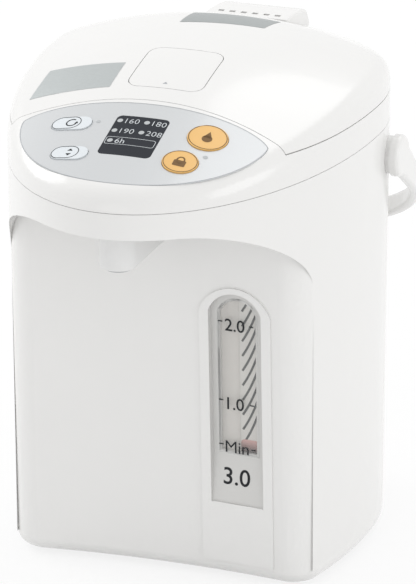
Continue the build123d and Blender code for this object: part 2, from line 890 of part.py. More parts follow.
with BuildPart() as pump_housing:
    add(rod(pump_x, pump_y, pump_floor_z + pump_floor_t, pump_top_z, pump_r))
    outlet_plane = Plane(origin=(pump_x, pump_y - outlet_offset, outlet_z), x_dir=(0, 1, 0), z_dir=(1, 0, 0))
    with BuildSketch(outlet_plane):
        Circle(port_r)
    extrude(amount=outlet_end_x - pump_x)
    add(rod(pump_x, pump_y, pump_top_z, port_top_z, port_r))
    add(rod(pump_x, pump_y, pump_floor_z, pump_top_z - pump_wall, pump_r - pump_wall), mode=Mode.SUBTRACT)
    add(rod(pump_x, pump_y, pump_floor_z, port_top_z + 5, port_bore_r), mode=Mode.SUBTRACT)
    with BuildSketch(outlet_plane):
        Circle(port_bore_r)
    extrude(amount=outlet_end_x, mode=Mode.SUBTRACT)
pump_housing.part.label = "pump_housing"
export_step(pump_housing.part, "parts/pump_housing.step")

impeller_z = pump_floor_z + pump_floor_t + 0.6
with BuildPart() as impeller:
    with BuildSketch(Plane.XY.offset(impeller_z)):
        with Locations((pump_x, pump_y)):
            Circle(impeller_r)
    extrude(amount=1.6)
    with BuildSketch(Plane.XY.offset(impeller_z)):
        with Locations((pump_x, pump_y)):
            Circle(3.4)
    extrude(amount=impeller_t)
    with BuildSketch(Plane.XY.offset(impeller_z)):
        with Locations((pump_x, pump_y)):
            with PolarLocations(8.2, 6, start_angle=20):
                with Locations(Rotation(0, 0, 25)):
                    Rectangle(9.6, 1.4)
    extrude(amount=impeller_t)
    add(rod(pump_x, pump_y, impeller_z - 1, impeller_z + impeller_t + 1, shaft_r + fit_gap),
            mode=Mode.SUBTRACT)
impeller.part.label = "impeller"
export_step(impeller.part, "parts/impeller.step")

rotor_z = pump_floor_z - 0.8 - rotor_t
with BuildPart() as motor:
    add(rod(pump_x, pump_y, motor_bottom_z, motor_top_z, motor_r))
    add(rod(pump_x, pump_y, motor_top_z, motor_top_z + 0.8, 4))
    add(rod(pump_x, pump_y, motor_top_z - 14, motor_top_z + 2, shaft_r + fit_gap), mode=Mode.SUBTRACT)
motor.part.label = "motor"
export_step(motor.part, "parts/motor.step")

with BuildPart() as motor_rotor:
    add(rod(pump_x, pump_y, rotor_z, rotor_z + rotor_t, rotor_r))
    fillet(motor_rotor.edges().filter_by(GeomType.CIRCLE), 0.6)
    add(rod(pump_x, pump_y, motor_top_z - 13.7, rotor_z + 1, shaft_r))
motor_rotor.part.label = "motor_rotor"
export_step(motor_rotor.part, "parts/motor_rotor.step")

with BuildPart() as suction_pipe:
    with BuildSketch(Plane.XY.offset(pump_top_z)):
        with Locations((pump_x, pump_y)):
            Circle(port_r + 1.6)
            Circle(port_r + fit_gap, mode=Mode.SUBTRACT)
    extrude(amount=tank_floor_z - pump_top_z)
suction_pipe.part.label = "suction_pipe"
export_step(suction_pipe.part, "parts/suction_pipe.step")

with BuildPart() as delivery_hose:
    with BuildLine() as hose_line:
        Spline(
            (outlet_end_x, pump_y - outlet_offset, outlet_z),
            (gauge_tube_x, gauge_tube_y, gauge_tube_bottom_z),
            tangents=((1, 0, 0), (0, 0, 1)),
            tangent_scalars=(1.1, 1.1),
        )
    with BuildSketch(Plane(origin=hose_line.line @ 0, z_dir=hose_line.line % 0)):
        Circle(port_r)
        Circle(port_bore_r, mode=Mode.SUBTRACT)
    sweep()
delivery_hose.part.label = "delivery_hose"
export_step(delivery_hose.part, "parts/delivery_hose.step")

with BuildPart() as gauge_tube:
    with BuildSketch(Plane.XY.offset(gauge_tube_bottom_z)):
        with Locations((gauge_tube_x, gauge_tube_y)):
            Circle(gauge_tube_r)
            Circle(gauge_tube_bore_r, mode=Mode.SUBTRACT)
    extrude(amount=gauge_tube_top_z - gauge_tube_bottom_z)
gauge_tube.part.label = "gauge_tube"
export_step(gauge_tube.part, "parts/gauge_tube.step")

pipe_run = sqrt(gauge_tube_x**2 + (gauge_tube_y - spout_y) ** 2)
pipe_plane = Plane(
    origin=(gauge_tube_x, gauge_tube_y, 0),
    x_dir=(-gauge_tube_x, spout_y - gauge_tube_y, 0),
    z_dir=(spout_y - gauge_tube_y, gauge_tube_x, 0),
)
with BuildPart() as outlet_pipe:
    with BuildLine(pipe_plane) as pipe_line:
        Line((0, gauge_tube_top_z), (0, pipe_z - pipe_bend_r))
        RadiusArc((0, pipe_z - pipe_bend_r), (pipe_bend_r, pipe_z), pipe_bend_r)
        Line((pipe_bend_r, pipe_z), (pipe_run - pipe_bend_r, pipe_z))
        RadiusArc((pipe_run - pipe_bend_r, pipe_z), (pipe_run, pipe_z - pipe_bend_r), pipe_bend_r)
        Line((pipe_run, pipe_z - pipe_bend_r), (pipe_run, pipe_bottom_z))
    with BuildSketch(Plane.XY.offset(gauge_tube_top_z)):
        with Locations((gauge_tube_x, gauge_tube_y)):
            Circle(pipe_r)
            Circle(pipe_bore_r, mode=Mode.SUBTRACT)
    sweep()
outlet_pipe.part.label = "outlet_pipe"
export_step(outlet_pipe.part, "parts/outlet_pipe.step")

# ---------------------------------------------------------------- spout
half_spout = spout_width / 2
with BuildPart() as spout_cowl:
    with BuildSketch(Plane.XY.offset(spout_bottom_z)):
        with Locations((0, spout_y)):
            Circle(half_spout)
        with Locations((0, spout_y / 2 - 20)):
            Rectangle(spout_width, -spout_y - 40)
    extrude(amount=niche_top_z - spout_bottom_z)
    add(niche_outside, mode=Mode.INTERSECT)
    with BuildSketch(Plane.XY.offset(spout_bottom_z + spout_wall)):
        with Locations((0, spout_y)):
            Circle(half_spout - spout_wall)
        with Locations((0, (spout_y + spout_rear_y) / 2)):
            Rectangle(spout_width - 2 * spout_wall, spout_rear_y - spout_y)
    extrude(amount=40, mode=Mode.SUBTRACT)
    add(rod(0, spout_y, spout_bottom_z - 1, spout_bottom_z + 5, nozzle_r + 0.1), mode=Mode.SUBTRACT)
    fillet(spout_cowl.faces().sort_by(Axis.Z)[0].outer_wire().edges().filter_by(GeomType.CIRCLE), 1.2)
spout_cowl.part.label = "spout_cowl"
export_step(spout_cowl.part, "parts/spout_cowl.step")

with BuildPart() as spout_nozzle:
    add(rod(0, spout_y, spout_bottom_z - 1.2, spout_bottom_z + spout_wall + 8, nozzle_r))
    add(rod(0, spout_y, spout_bottom_z + spout_wall, spout_bottom_z + spout_wall + 1.6,
            half_spout - spout_wall - 0.2))
    add(rod(0, spout_y, spout_bottom_z + spout_wall, spout_bottom_z + 20, pipe_r + fit_gap),
            mode=Mode.SUBTRACT)
    add(rod(0, spout_y, spout_bottom_z - 5, spout_bottom_z + 20, pipe_bore_r), mode=Mode.SUBTRACT)
spout_nozzle.part.label = "spout_nozzle"
export_step(spout_nozzle.part, "parts/spout_nozzle.step")

# ---------------------------------------------------------------- water gauge
glass_floor = -scoop_depth
channel_front = glass_floor - scoop_floor_t
bezel_skin_form = Pos(0, -bezel_proud, 0) * niche_outside
with BuildPart() as gauge_bezel:
    with BuildSketch(gauge_plane.offset(-3)):
        add(arch_outline(bezel_half_width, bezel_top_z, bezel_bottom_z))
    extrude(amount=16)
    add(niche_outside, mode=Mode.INTERSECT)
    with BuildSketch(gauge_plane.offset(channel_front)):
        add(arch_outline(scoop_half_width + tunnel_rim, scoop_top_z + tunnel_rim,
                         scoop_bottom_z - tunnel_rim))
    extrude(amount=12 - channel_front)
    add(bezel_skin_form, mode=Mode.SUBTRACT)
    with BuildSketch(gauge_side_plane.offset(-scoop_half_width)):
        with BuildLine():
            Polyline(
                (0, scoop_bottom_z - gauge_mid_z), (-glass_floor, glass_bottom_z - 2 - gauge_mid_z),
                (-glass_floor, 90), (-20, 90), (-20, scoop_bottom_z - gauge_mid_z),
                (0, scoop_bottom_z - gauge_mid_z),
            )
        make_face()
    scoop_block = extrude(amount=2 * scoop_half_width, mode=Mode.PRIVATE)
    with BuildSketch(gauge_plane.offset(-10)):
        add(arch_outline(scoop_half_width, scoop_top_z, scoop_bottom_z - 1))
    scoop_prism = extrude(amount=30, mode=Mode.PRIVATE)
    add(scoop_block & scoop_prism, mode=Mode.SUBTRACT)
    with BuildSketch(gauge_plane.offset(-12)):
        add(arch_outline(glass_half_width - 1.4, glass_top_z - 1.4, glass_bottom_z + 1.4))
    extrude(amount=30, mode=Mode.SUBTRACT)
gauge_bezel.part.label = "gauge_bezel"
export_step(gauge_bezel.part, "parts/gauge_bezel.step")

with BuildPart() as gauge_window:
    with BuildSketch(gauge_plane.offset(glass_floor)):
        add(arch_outline(glass_half_width, glass_top_z, glass_bottom_z))
    extrude(amount=glass_t)
gauge_window.part.label = "gauge_window"
export_step(gauge_window.part, "parts/gauge_window.step")

with BuildPart() as gauge_backing:
    add(box_between(gauge_x - 13.5, gauge_x + 13.5, -90, channel_rear_y, 70, 172))
    add(box_between(gauge_x - 12.2, gauge_x + 12.2, -91, channel_rear_y - 1.2, 71.2, 170.8),
                    mode=Mode.SUBTRACT)
    # raised strip beside the sight tube
    with BuildSketch(gauge_plane.offset(channel_front - strip_gap)):
        with Locations(((strip_left + strip_right) / 2, (glass_top_z + glass_bottom_z) / 2 - gauge_mid_z)):
            Rectangle(strip_right - strip_left, glass_top_z - glass_bottom_z + 6)
    extrude(amount=-strip_t)
    with BuildSketch(gauge_plane.offset(channel_front)):
        Rectangle(200, 300)
    extrude(amount=80, mode=Mode.SUBTRACT)
    add(rod(gauge_tube_x, gauge_tube_y, 60, 180, gauge_tube_r + 0.1), mode=Mode.SUBTRACT)
gauge_backing.part.label = "gauge_backing"
export_step(gauge_backing.part, "parts/gauge_backing.step")

# ---------------------------------------------------------------- base, power inlet, power board
with BuildPart() as base_plate:
    add(drafted_oval(base_inset + seam, case_bottom_z, cavity_z))
    add(box_between(-200, 200, -200, face_base_y + base_inset + seam, 0, 30), mode=Mode.SUBTRACT)
    add(box_between(-200, 200, -200, 200, 0, base_plate_z), mode=Mode.SUBTRACT)
    add(box_between(-200, 200, -200, 200, base_top_z, 30), mode=Mode.SUBTRACT)
    for side in (-1, 1):
        add(rod(pump_x + side * pillar_offset, pump_y, base_plate_z + 1, pump_floor_z, pillar_r))
    add(rod(pump_x, pump_y, base_plate_z + 1, motor_bottom_z, motor_r - 1))
    for x in (-26, 26):
        for y in (64, 100):
            add(rod(x, y, base_plate_z + 1, power_board_z, 2.5))
    for x, y in screw_places:
        add(rod(x, y, 0, 12, screw_r + fit_gap), mode=Mode.SUBTRACT)
    with BuildSketch(Plane.XY.offset(base_plate_z)):
        with Locations((0, 20)):
            with GridLocations(0, 9, 1, 5):
                SlotOverall(34, 3)
    extrude(amount=5, mode=Mode.SUBTRACT)
base_plate.part.label = "base_plate"
export_step(base_plate.part, "parts/base_plate.step")

with BuildPart() as rubber_feet:
    for x, y in foot_places:
        add(rod(x, y, 0, base_plate_z, foot_r))
    fillet(rubber_feet.faces().group_by(Axis.Z)[0].edges(), 0.8)
rubber_feet.part.label = "rubber_feet"
export_step(rubber_feet.part, "parts/rubber_feet.step")

with BuildPart() as base_screws:
    for x, y in screw_places:
        add(rod(x, y, base_plate_z - 1.8, base_plate_z, screw_head_r))
        add(rod(x, y, base_plate_z - 0.5, cavity_z + 9, screw_r))
        add(box_between(x - 2.2, x + 2.2, y - 0.4, y + 0.4, 0, base_plate_z - 1), mode=Mode.SUBTRACT)
base_screws.part.label = "base_screws"
export_step(base_screws.part, "parts/base_screws.step")

with BuildPart() as inlet_flange:
    add(drafted_oval(wall, cavity_z, parting_z))
    add(box_between(-inlet_half_width - 3, inlet_half_width + 3, body_rear_y - 10, 200,
                    inlet_bottom_z - 3, inlet_top_z + 3), mode=Mode.INTERSECT)

with BuildPart() as inlet_socket:
    add(box_between(-inlet_half_width, inlet_half_width, inlet_front_y, body_rear_y + 5, inlet_bottom_z,
                    inlet_top_z))
    add(drafted_oval(0.6, case_bottom_z, parting_z), mode=Mode.INTERSECT)
    add(inlet_flange.part)
    add(box_between(-inlet_half_width + 3, inlet_half_width - 3, inlet_front_y + 3, body_rear_y + 5,
                    inlet_bottom_z + 4, inlet_top_z - 4), mode=Mode.SUBTRACT)
inlet_socket.part.label = "inlet_socket"
export_step(inlet_socket.part, "parts/inlet_socket.step")

with BuildPart() as inlet_pins:
    for x in (-7, 7):
        with BuildSketch(Plane.XZ.offset(-inlet_front_y - 3)):
            with Locations((x, (inlet_bottom_z + inlet_top_z) / 2)):
                Circle(2.2)
        extrude(amount=-7)
inlet_pins.part.label = "inlet_pins"
export_step(inlet_pins.part, "parts/inlet_pins.step")

with BuildPart() as power_board:
    add(box_between(-32, 32, 58, 106, power_board_z, power_board_z + board_t))
    add(box_between(-24, -4, 72, 94, power_board_z + board_t, power_board_z + 18))
    add(box_between(6, 20, 78, 90, power_board_z + board_t, power_board_z + 14))
    add(rod(24, 68, power_board_z + board_t, power_board_z + 15, 4.5))
power_board.part.label = "power_board"
export_step(power_board.part, "parts/power_board.step")

# ---------------------------------------------------------------- lid
with BuildPart() as lid_hollow:
    add(top_inside.part)
    add(behind_lid_line(-wall), mode=Mode.INTERSECT)
    add(box_between(-200, 200, lid_rear_y - lid_wall, 200, 200, 300), mode=Mode.SUBTRACT)

with BuildPart() as lid_cover:
    add(top_outside.part)
    add(behind_lid_line(0), mode=Mode.INTERSECT)
    add(box_between(-200, 200, -200, 200, 0, lid_edge_z), mode=Mode.SUBTRACT)
    add(box_between(-200, 200, lid_rear_y, 200, 200, 300), mode=Mode.SUBTRACT)
    add(lid_hollow.part, mode=Mode.SUBTRACT)
    # pin ribs beside the lever
    for side in (-1, 1):
        inner = side * (lever_half_width + 1)
        outer_x = side * (lever_half_width + 3.6)
        add(box_between(min(inner, outer_x), max(inner, outer_x), lever_pivot_y - 4, lever_pivot_y + 4,
                        lever_pivot_z - 4, crown_height(lever_pivot_y) - 2))
    add(box_between(-vent_half_width - 0.3, vent_half_width + 0.3, vent_front_y - 0.3, 200, 200, 300),
                    mode=Mode.SUBTRACT)
    with BuildSketch(Plane.XY.offset(lever_pivot_z - 12)):
        with Locations((0, (lever_front_y + lever_rear_y) / 2)):
            RectangleRounded(2 * (lever_half_width + lever_gap), lever_rear_y - lever_front_y + 2 * lever_gap,
                             lever_corner_r + lever_gap)
    extrude(amount=40, mode=Mode.SUBTRACT)
    add(cross_rod(-lever_half_width - 2.6, lever_half_width + 2.6, lever_pivot_y, lever_pivot_z, lever_pin_r),
        mode=Mode.SUBTRACT)
    # slot for the latch bolt in the front wall
    add(box_between(-bolt_half_width - 0.3, bolt_half_width + 0.3, lid_front_y - 5, lid_front_y + 6,
                    bolt_bottom_z - 0.3, bolt_top_z + 0.3), mode=Mode.SUBTRACT)
lid_cover.part.label = "lid_cover"
export_step(lid_cover.part, "parts/lid_cover.step")

with BuildPart() as lid_base:
    with BuildSketch(Plane.XY.offset(lid_edge_z)):
        add(oval(wall))
    extrude(amount=lid_base_t)
    add(behind_lid_line(-wall), mode=Mode.INTERSECT)
    add(top_inside.part, mode=Mode.INTERSECT)
    add(box_between(-200, 200, lid_rear_y - lid_wall, 200, 200, 300), mode=Mode.SUBTRACT)
    add(rod(0, tank_y, plug_bottom_z, lid_edge_z + 0.5, plug_r))
    add(rod(0, tank_y, plug_bottom_z + plug_wall, lid_edge_z + lid_base_t + 5, plug_r - plug_wall),
            mode=Mode.SUBTRACT)
    # bridge that carries the latch, its rails and the spring stop
    add(box_between(-14, 14, lid_front_y + wall + 1, spring_stop_y + 3, lid_edge_z, lid_edge_z + lid_base_t))
    for side in (-1, 1):
        add(box_between(min(side * 8.4, side * 10), max(side * 8.4, side * 10), lid_front_y + 7,
                        bolt_rear_y + 2,
                        lid_edge_z + 1, bolt_top_z - 1))
    add(box_between(-5, 5, spring_stop_y, spring_stop_y + 2, lid_edge_z + 1, bolt_top_z))
    # deck under the vent and the hinge strap
    add(box_between(-vent_half_width + 4, vent_half_width - 4, 70, lid_rear_y - lid_wall, lid_edge_z,
                    lid_edge_z + lid_base_t))
lid_base.part.label = "lid_base"
export_step(lid_base.part, "parts/lid_base.step")

with BuildPart() as lid_gasket:
    with BuildSketch(Plane.XY.offset(lid_gasket_z)):
        with Locations((0, tank_y)):
            Circle(lid_gasket_r)
            Circle(inner_plate_r, mode=Mode.SUBTRACT)
    extrude(amount=plug_bottom_z - lid_gasket_z)
    fillet(lid_gasket.edges().group_by(Axis.Z)[0], 0.8)
lid_gasket.part.label = "lid_gasket"
export_step(lid_gasket.part, "parts/lid_gasket.step")

with BuildPart() as inner_lid_plate:
    add(rod(0, tank_y, inner_plate_z, inner_plate_z + inner_plate_t, inner_plate_r - 0.1))
    add(rod(0, tank_y, inner_plate_z, plug_bottom_z, 9))
    with BuildSketch(Plane.XY.offset(inner_plate_z)):
        with Locations((0, tank_y)):
            with PolarLocations(40, 6):
                Circle(3)
            with PolarLocations(62, 3, start_angle=30):
                Circle(4.5)
    extrude(amount=inner_plate_t + 1, mode=Mode.SUBTRACT)
    with BuildSketch(Plane.XY.offset(inner_plate_z + inner_plate_t)):
        with Locations((0, tank_y)):
            with PolarLocations(50, 3, start_angle=90):
                Circle(3.2)
    extrude(amount=plug_bottom_z - inner_plate_z - inner_plate_t)
inner_lid_plate.part.label = "inner_lid_plate"
export_step(inner_lid_plate.part, "parts/inner_lid_plate.step")

with BuildPart() as steam_cap:
    add(rod(0, steam_y, lid_edge_z + lid_base_t, lid_edge_z + lid_base_t + 10, 9))
    fillet(steam_cap.faces().group_by(Axis.Z)[-1].edges(), 2)
    add(rod(0, steam_y, lid_edge_z + lid_base_t, lid_edge_z + lid_base_t + 8, 7), mode=Mode.SUBTRACT)
    with BuildSketch(Plane.XY.offset(lid_edge_z + lid_base_t + 2)):
        with Locations((0, steam_y)):
            Rectangle(4, 30)
    extrude(amount=4, mode=Mode.SUBTRACT)
steam_cap.part.label = "steam_cap"
export_step(steam_cap.part, "parts/steam_cap.step")

vent_base_z = lid_edge_z + lid_base_t
vent_front_z = crown_height(vent_front_y) - 0.1
vent_ridge = (
    (vent_front_y, vent_front_z), (hinge_y - 26, vent_front_z - 0.1), (hinge_y - 19, vent_front_z - 0.6),
    (hinge_y - 9, vent_front_z - 1.6), (hinge_y - 0.5, vent_front_z - 3), (hinge_y + 2.6, vent_front_z - 4.6),
    (hinge_y + 5.2, vent_front_z - 7.6), (hinge_y + 6.6, vent_front_z - 10.6),
)
with BuildPart() as steam_vent:
    with BuildSketch(Plane.YZ.offset(-vent_half_width)):
        with BuildLine():
            Polyline(
                (vent_front_y, vent_base_z), *vent_ridge, (hinge_y + 6.9, hinge_z + 2.6),
                (hinge_y + barrel_r - 0.2, hinge_z), (hinge_y, hinge_z - 1), (hinge_y - 5.7, hinge_z - 3.2),
                (lid_rear_y - lid_wall, vent_base_z), (vent_front_y, vent_base_z),
            )
        make_face()
    extrude(amount=2 * vent_half_width)
    side_edges = steam_vent.faces().filter_by(Axis.X).edges()
    fillet(side_edges.filter_by(lambda e: e.center().Z > vent_front_z - 11), vent_edge_r)
    with BuildSketch(Plane.YZ.offset(-vent_half_width + vent_wall)):
        with BuildLine():
            Polyline(
                (vent_front_y + vent_wall, vent_base_z - 1),
                (vent_front_y + vent_wall, vent_front_z - vent_wall),
                (hinge_y - 19, vent_front_z - 0.6 - vent_wall),
                (hinge_y - 8.5, vent_front_z - 1.7 - vent_wall),
                (hinge_y - 8.5, vent_base_z - 1), (vent_front_y + vent_wall, vent_base_z - 1),
            )
        make_face()
    extrude(amount=2 * (vent_half_width - vent_wall), mode=Mode.SUBTRACT)
    slot_y = vent_front_y + vent_slot_set_back
    for slot in range(vent_slots):
        x = (slot - (vent_slots - 1) / 2) * vent_slot_pitch
        add(box_between(x - vent_slot_width / 2, x + vent_slot_width / 2, slot_y, slot_y + vent_slot_length,
                        vent_front_z - 5, vent_front_z + 5), mode=Mode.SUBTRACT)
    # room for the ears inside the side walls
    for side in (-1, 1):
        x0 = min(side * barrel_half, side * (vent_half_width - vent_wall))
        x1 = max(side * barrel_half, side * (vent_half_width - vent_wall))
        add(box_between(x0, x1, hinge_y - barrel_r - ear_clear, hinge_y + barrel_r + ear_clear, 200, hinge_z),
            mode=Mode.SUBTRACT)
        add(cross_rod(x0, x1, hinge_y, hinge_z, barrel_r + ear_clear), mode=Mode.SUBTRACT)
    add(cross_rod(-barrel_half, barrel_half, hinge_y, hinge_z, barrel_r))
    add(cross_rod(-barrel_half - 3, barrel_half + 3, hinge_y, hinge_z, hinge_pin_r + fit_gap),
                  mode=Mode.SUBTRACT)
steam_vent.part.label = "steam_vent"
export_step(steam_vent.part, "parts/steam_vent.step")

with BuildPart() as hinge_pin:
    add(cross_rod(-ear_outer + 0.5, ear_outer - 0.5, hinge_y, hinge_z, hinge_pin_r))
hinge_pin.part.label = "hinge_pin"
export_step(hinge_pin.part, "parts/hinge_pin.step")

# ---------------------------------------------------------------- lever and latch
with BuildPart() as lid_lever:
    with BuildSketch(Plane.XY.offset(lever_pivot_z - 12)):
        with Locations((0, (lever_front_y + lever_rear_y) / 2)):
            RectangleRounded(2 * lever_half_width, lever_rear_y - lever_front_y, lever_corner_r)
    extrude(amount=40)
    add(crown_outside, mode=Mode.INTERSECT)
    add(crown_below(lever_t), mode=Mode.SUBTRACT)
    for side in (-1, 1):
        x0 = side * (lever_half_width - 8)
        x1 = side * (lever_half_width - 4)
        add(box_between(min(x0, x1), max(x0, x1), lever_pivot_y - lever_boss_r, lever_pivot_y + lever_boss_r,
                        lever_pivot_z, crown_height(lever_pivot_y) - lever_t - 0.3))
        add(cross_rod(x0, x1, lever_pivot_y, lever_pivot_z, lever_boss_r))
    add(box_between(-finger_half_width, finger_half_width, finger_y - 1.5, finger_y + 1.5, finger_bottom_z,
                    crown_height(finger_y) - lever_t / 2))
    add(cross_rod(-30, 30, lever_pivot_y, lever_pivot_z, lever_pin_r + fit_gap), mode=Mode.SUBTRACT)
lid_lever.part.label = "lid_lever"
export_step(lid_lever.part, "parts/lid_lever.step")

with BuildPart() as lever_pin:
    add(cross_rod(-lever_half_width - 2.4, lever_half_width + 2.4, lever_pivot_y, lever_pivot_z, lever_pin_r))
lever_pin.part.label = "lever_pin"
export_step(lever_pin.part, "parts/lever_pin.step")

bolt_tip_y = lid_front_y - bolt_reach
with BuildPart() as latch_bolt:
    with BuildSketch(Plane.YZ.offset(-bolt_half_width)):
        with BuildLine():
            Polyline(
                (bolt_tip_y, bolt_top_z), (bolt_tip_y, bolt_top_z - 2), (bolt_tip_y + 1.4, bolt_bottom_z),
                (bolt_rear_y, bolt_bottom_z), (bolt_rear_y, bolt_top_z), (bolt_tip_y, bolt_top_z),
            )
        make_face()
    extrude(amount=2 * bolt_half_width)
    add(box_between(-finger_half_width - 0.5, finger_half_width + 0.5, finger_y - 1.7 - 3.6,
                    finger_y + 1.7, 0, 300),
        mode=Mode.SUBTRACT)
    with BuildSketch(Plane.XZ.offset(-bolt_rear_y)):
        with Locations((0, (bolt_bottom_z + bolt_top_z) / 2)):
            Circle(spring_r - 0.6)
    extrude(amount=-4)
latch_bolt.part.label = "latch_bolt"
export_step(latch_bolt.part, "parts/latch_bolt.step")

spring_z = (bolt_bottom_z + bolt_top_z) / 2
spring_length = spring_stop_y - bolt_rear_y
with BuildPart() as latch_spring:
    with BuildLine() as coil:
        Helix(
            pitch=(spring_length - 2 * spring_wire_r) / spring_turns,
            height=spring_length - 2 * spring_wire_r,
            radius=spring_r,
            center=(0, bolt_rear_y + spring_wire_r, spring_z),
            direction=(0, 1, 0),
        )
    with BuildSketch(Plane(origin=coil.line @ 0, z_dir=coil.line % 0)):
        Circle(spring_wire_r)
    sweep(is_frenet=True)
latch_spring.part.label = "latch_spring"
export_step(latch_spring.part, "parts/latch_spring.step")

# ---------------------------------------------------------------- carrying handle
arm_slope = radians(arm_rest_angle)
bail_plane = Plane(
    origin=(0, pivot_y, pivot_z), x_dir=(1, 0, 0), z_dir=(0, sin(arm_slope), cos(arm_slope))
)


def bail_boss(side):
    """The round boss at the end of one arm, rounded on its outer edge."""
    with BuildPart() as boss:
        with BuildSketch(Plane.YZ.offset(side * arm_inner_x)):
            with Locations((pivot_y, pivot_z)):
                Circle(bail_boss_r)
        extrude(amount=side * bail_thickness)
        fillet(boss.edges().sort_by(lambda e: abs(e.center().X))[-1:], 2.4)
    return boss.part


bail_outer_x = arm_inner_x + bail_thickness
bail_soft = (
    (bail_thickness / 2 - bail_round) * cos(arm_slope)
    + (bail_height / 2 - bail_round) * sin(arm_slope)
    + bail_round
)
bail_rear_y = body_rear_y + bail_rear_room
bail_reach = (bail_rear_y - pivot_y - bail_soft) / cos(arm_slope) + bail_thickness / 2
root_half = bail_root_height / 2
grip_half = bail_height / 2
with BuildPart() as bail_side:
    with BuildSketch(Plane(origin=(-200, pivot_y, pivot_z), x_dir=bail_plane.y_dir, z_dir=(1, 0, 0))):
        with BuildLine():
            Polyline((0, root_half), (bail_taper, grip_half), (200, grip_half), (200, -grip_half),
                     (bail_taper, -grip_half), (0, -root_half), (0, root_half))
        make_face()
    extrude(amount=400)
with BuildPart() as handle_bail:
    with BuildSketch(bail_plane.offset(-root_half)):
        with BuildLine():
            Line((-bail_outer_x, 0), (-bail_outer_x, bail_straight))
            EllipticalCenterArc((0, bail_straight), bail_outer_x, bail_reach - bail_straight,
                                start_angle=0, arc_size=180)
            Line((bail_outer_x, bail_straight), (bail_outer_x, 0))
            Line((bail_outer_x, 0), (arm_inner_x, 0))
            Line((arm_inner_x, 0), (arm_inner_x, bail_straight))
            EllipticalCenterArc((0, bail_straight), arm_inner_x, bail_reach - bail_straight - bail_thickness,
                                start_angle=0, arc_size=180)
            Line((-arm_inner_x, bail_straight), (-arm_inner_x, 0))
            Line((-arm_inner_x, 0), (-bail_outer_x, 0))
        make_face()
    extrude(amount=bail_root_height)
    add(bail_side.part, mode=Mode.INTERSECT)
    fillet(handle_bail.edges().filter_by(lambda e: e.length > 30), bail_round)
    for side in (-1, 1):
        add(bail_boss(side))
        with BuildSketch(Plane.YZ.offset(side * arm_inner_x)):
            with Locations((pivot_y, pivot_z)):
                Circle(pivot_r + fit_gap)
        extrude(amount=side * 4.6, mode=Mode.SUBTRACT)
handle_bail.part.label = "handle_bail"
export_step(handle_bail.part, "parts/handle_bail.step")

with BuildPart() as handle_studs:
    for side in (-1, 1):
        base_x = side * pad_inner_x
        with BuildSketch(Plane.YZ.offset(base_x)):
            with Locations((pivot_y, pivot_z)):
                Circle(pivot_r)
        extrude(amount=side * (arm_inner_x + 4.3 - abs(base_x)))
        with BuildSketch(Plane.YZ.offset(base_x)):
            with Locations((pivot_y, pivot_z)):
                Circle(pivot_r + 2.5)
        extrude(amount=-side * 1.6)
handle_studs.part.label = "handle_studs"
export_step(handle_studs.part, "parts/handle_studs.step")
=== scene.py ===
import json
import math

import bpy
from bpy.props import FloatProperty, FloatVectorProperty, PointerProperty
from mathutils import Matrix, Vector

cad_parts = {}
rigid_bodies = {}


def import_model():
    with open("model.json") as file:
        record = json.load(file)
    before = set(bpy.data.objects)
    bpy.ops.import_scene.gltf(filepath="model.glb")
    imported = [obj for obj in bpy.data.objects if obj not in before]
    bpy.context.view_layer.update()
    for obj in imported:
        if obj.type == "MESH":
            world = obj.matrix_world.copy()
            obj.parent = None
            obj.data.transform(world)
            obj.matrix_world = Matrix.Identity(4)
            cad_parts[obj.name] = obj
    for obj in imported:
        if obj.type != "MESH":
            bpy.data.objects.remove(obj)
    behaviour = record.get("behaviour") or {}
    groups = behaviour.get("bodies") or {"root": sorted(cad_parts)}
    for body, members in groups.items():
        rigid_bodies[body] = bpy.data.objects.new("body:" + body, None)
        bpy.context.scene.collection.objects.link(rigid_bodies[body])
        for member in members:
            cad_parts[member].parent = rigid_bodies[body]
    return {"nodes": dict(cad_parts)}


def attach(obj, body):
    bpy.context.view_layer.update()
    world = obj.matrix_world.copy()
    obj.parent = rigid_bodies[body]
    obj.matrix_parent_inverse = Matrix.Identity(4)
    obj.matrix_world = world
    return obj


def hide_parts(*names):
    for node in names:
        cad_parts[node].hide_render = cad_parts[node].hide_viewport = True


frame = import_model()

bl_info = {
    "name": "Electric Thermo Pot",
    "version": (1, 0, 0),
    "blender": (4, 5, 0),
    "location": "View3D > Sidebar > Thermo Pot",
    "description": "Dresses the thermo pot: shells, control panel, water gauge, lid, handle and stage",
    "category": "Object",
}

MM = 0.001
PANEL_SHARE = 0.957  # of a length up the panel, what is left in plan
OVER_PANEL = 0.30  # height from which a print falls onto the panel
OVER_LID = 0.32  # height from which a print falls onto the lid
BEFORE_GAUGE = -0.090  # depth from which a print falls onto the gauge
SAME_PLACE = 1e-7

# the face under the nose, in mm: it leans forward with height and bows over its width
FACE_BASE_Y = -57.0
FACE_BASE_Z = 3.0
FACE_LEAN = 10.0
FACE_HEIGHT = 236.0
FACE_BOW = 4.5
FACE_HALF_WIDTH = 79.0
# bezel faces this far behind the face get the darker recess white, which is painted shade
BEZEL_FLOOR_DEPTH = 0.75


# ---------------------------------------------------------------- settings
def colour(name, description, value):
    return FloatVectorProperty(
        name=name, description=description, default=value, size=3, subtype="COLOR", min=0, max=1
    )


def length(name, description, value):
    return FloatProperty(name=name, description=description, default=value, unit="LENGTH", min=0)


def power(name, description, value):
    return FloatProperty(name=name, description=description, default=value, unit="POWER")


def angle(name, description, degrees):
    return FloatProperty(
        name=name, description=description, default=math.radians(degrees), subtype="ANGLE"
    )


def share(name, description, value):
    return FloatProperty(name=name, description=description, default=value, min=0, max=1)


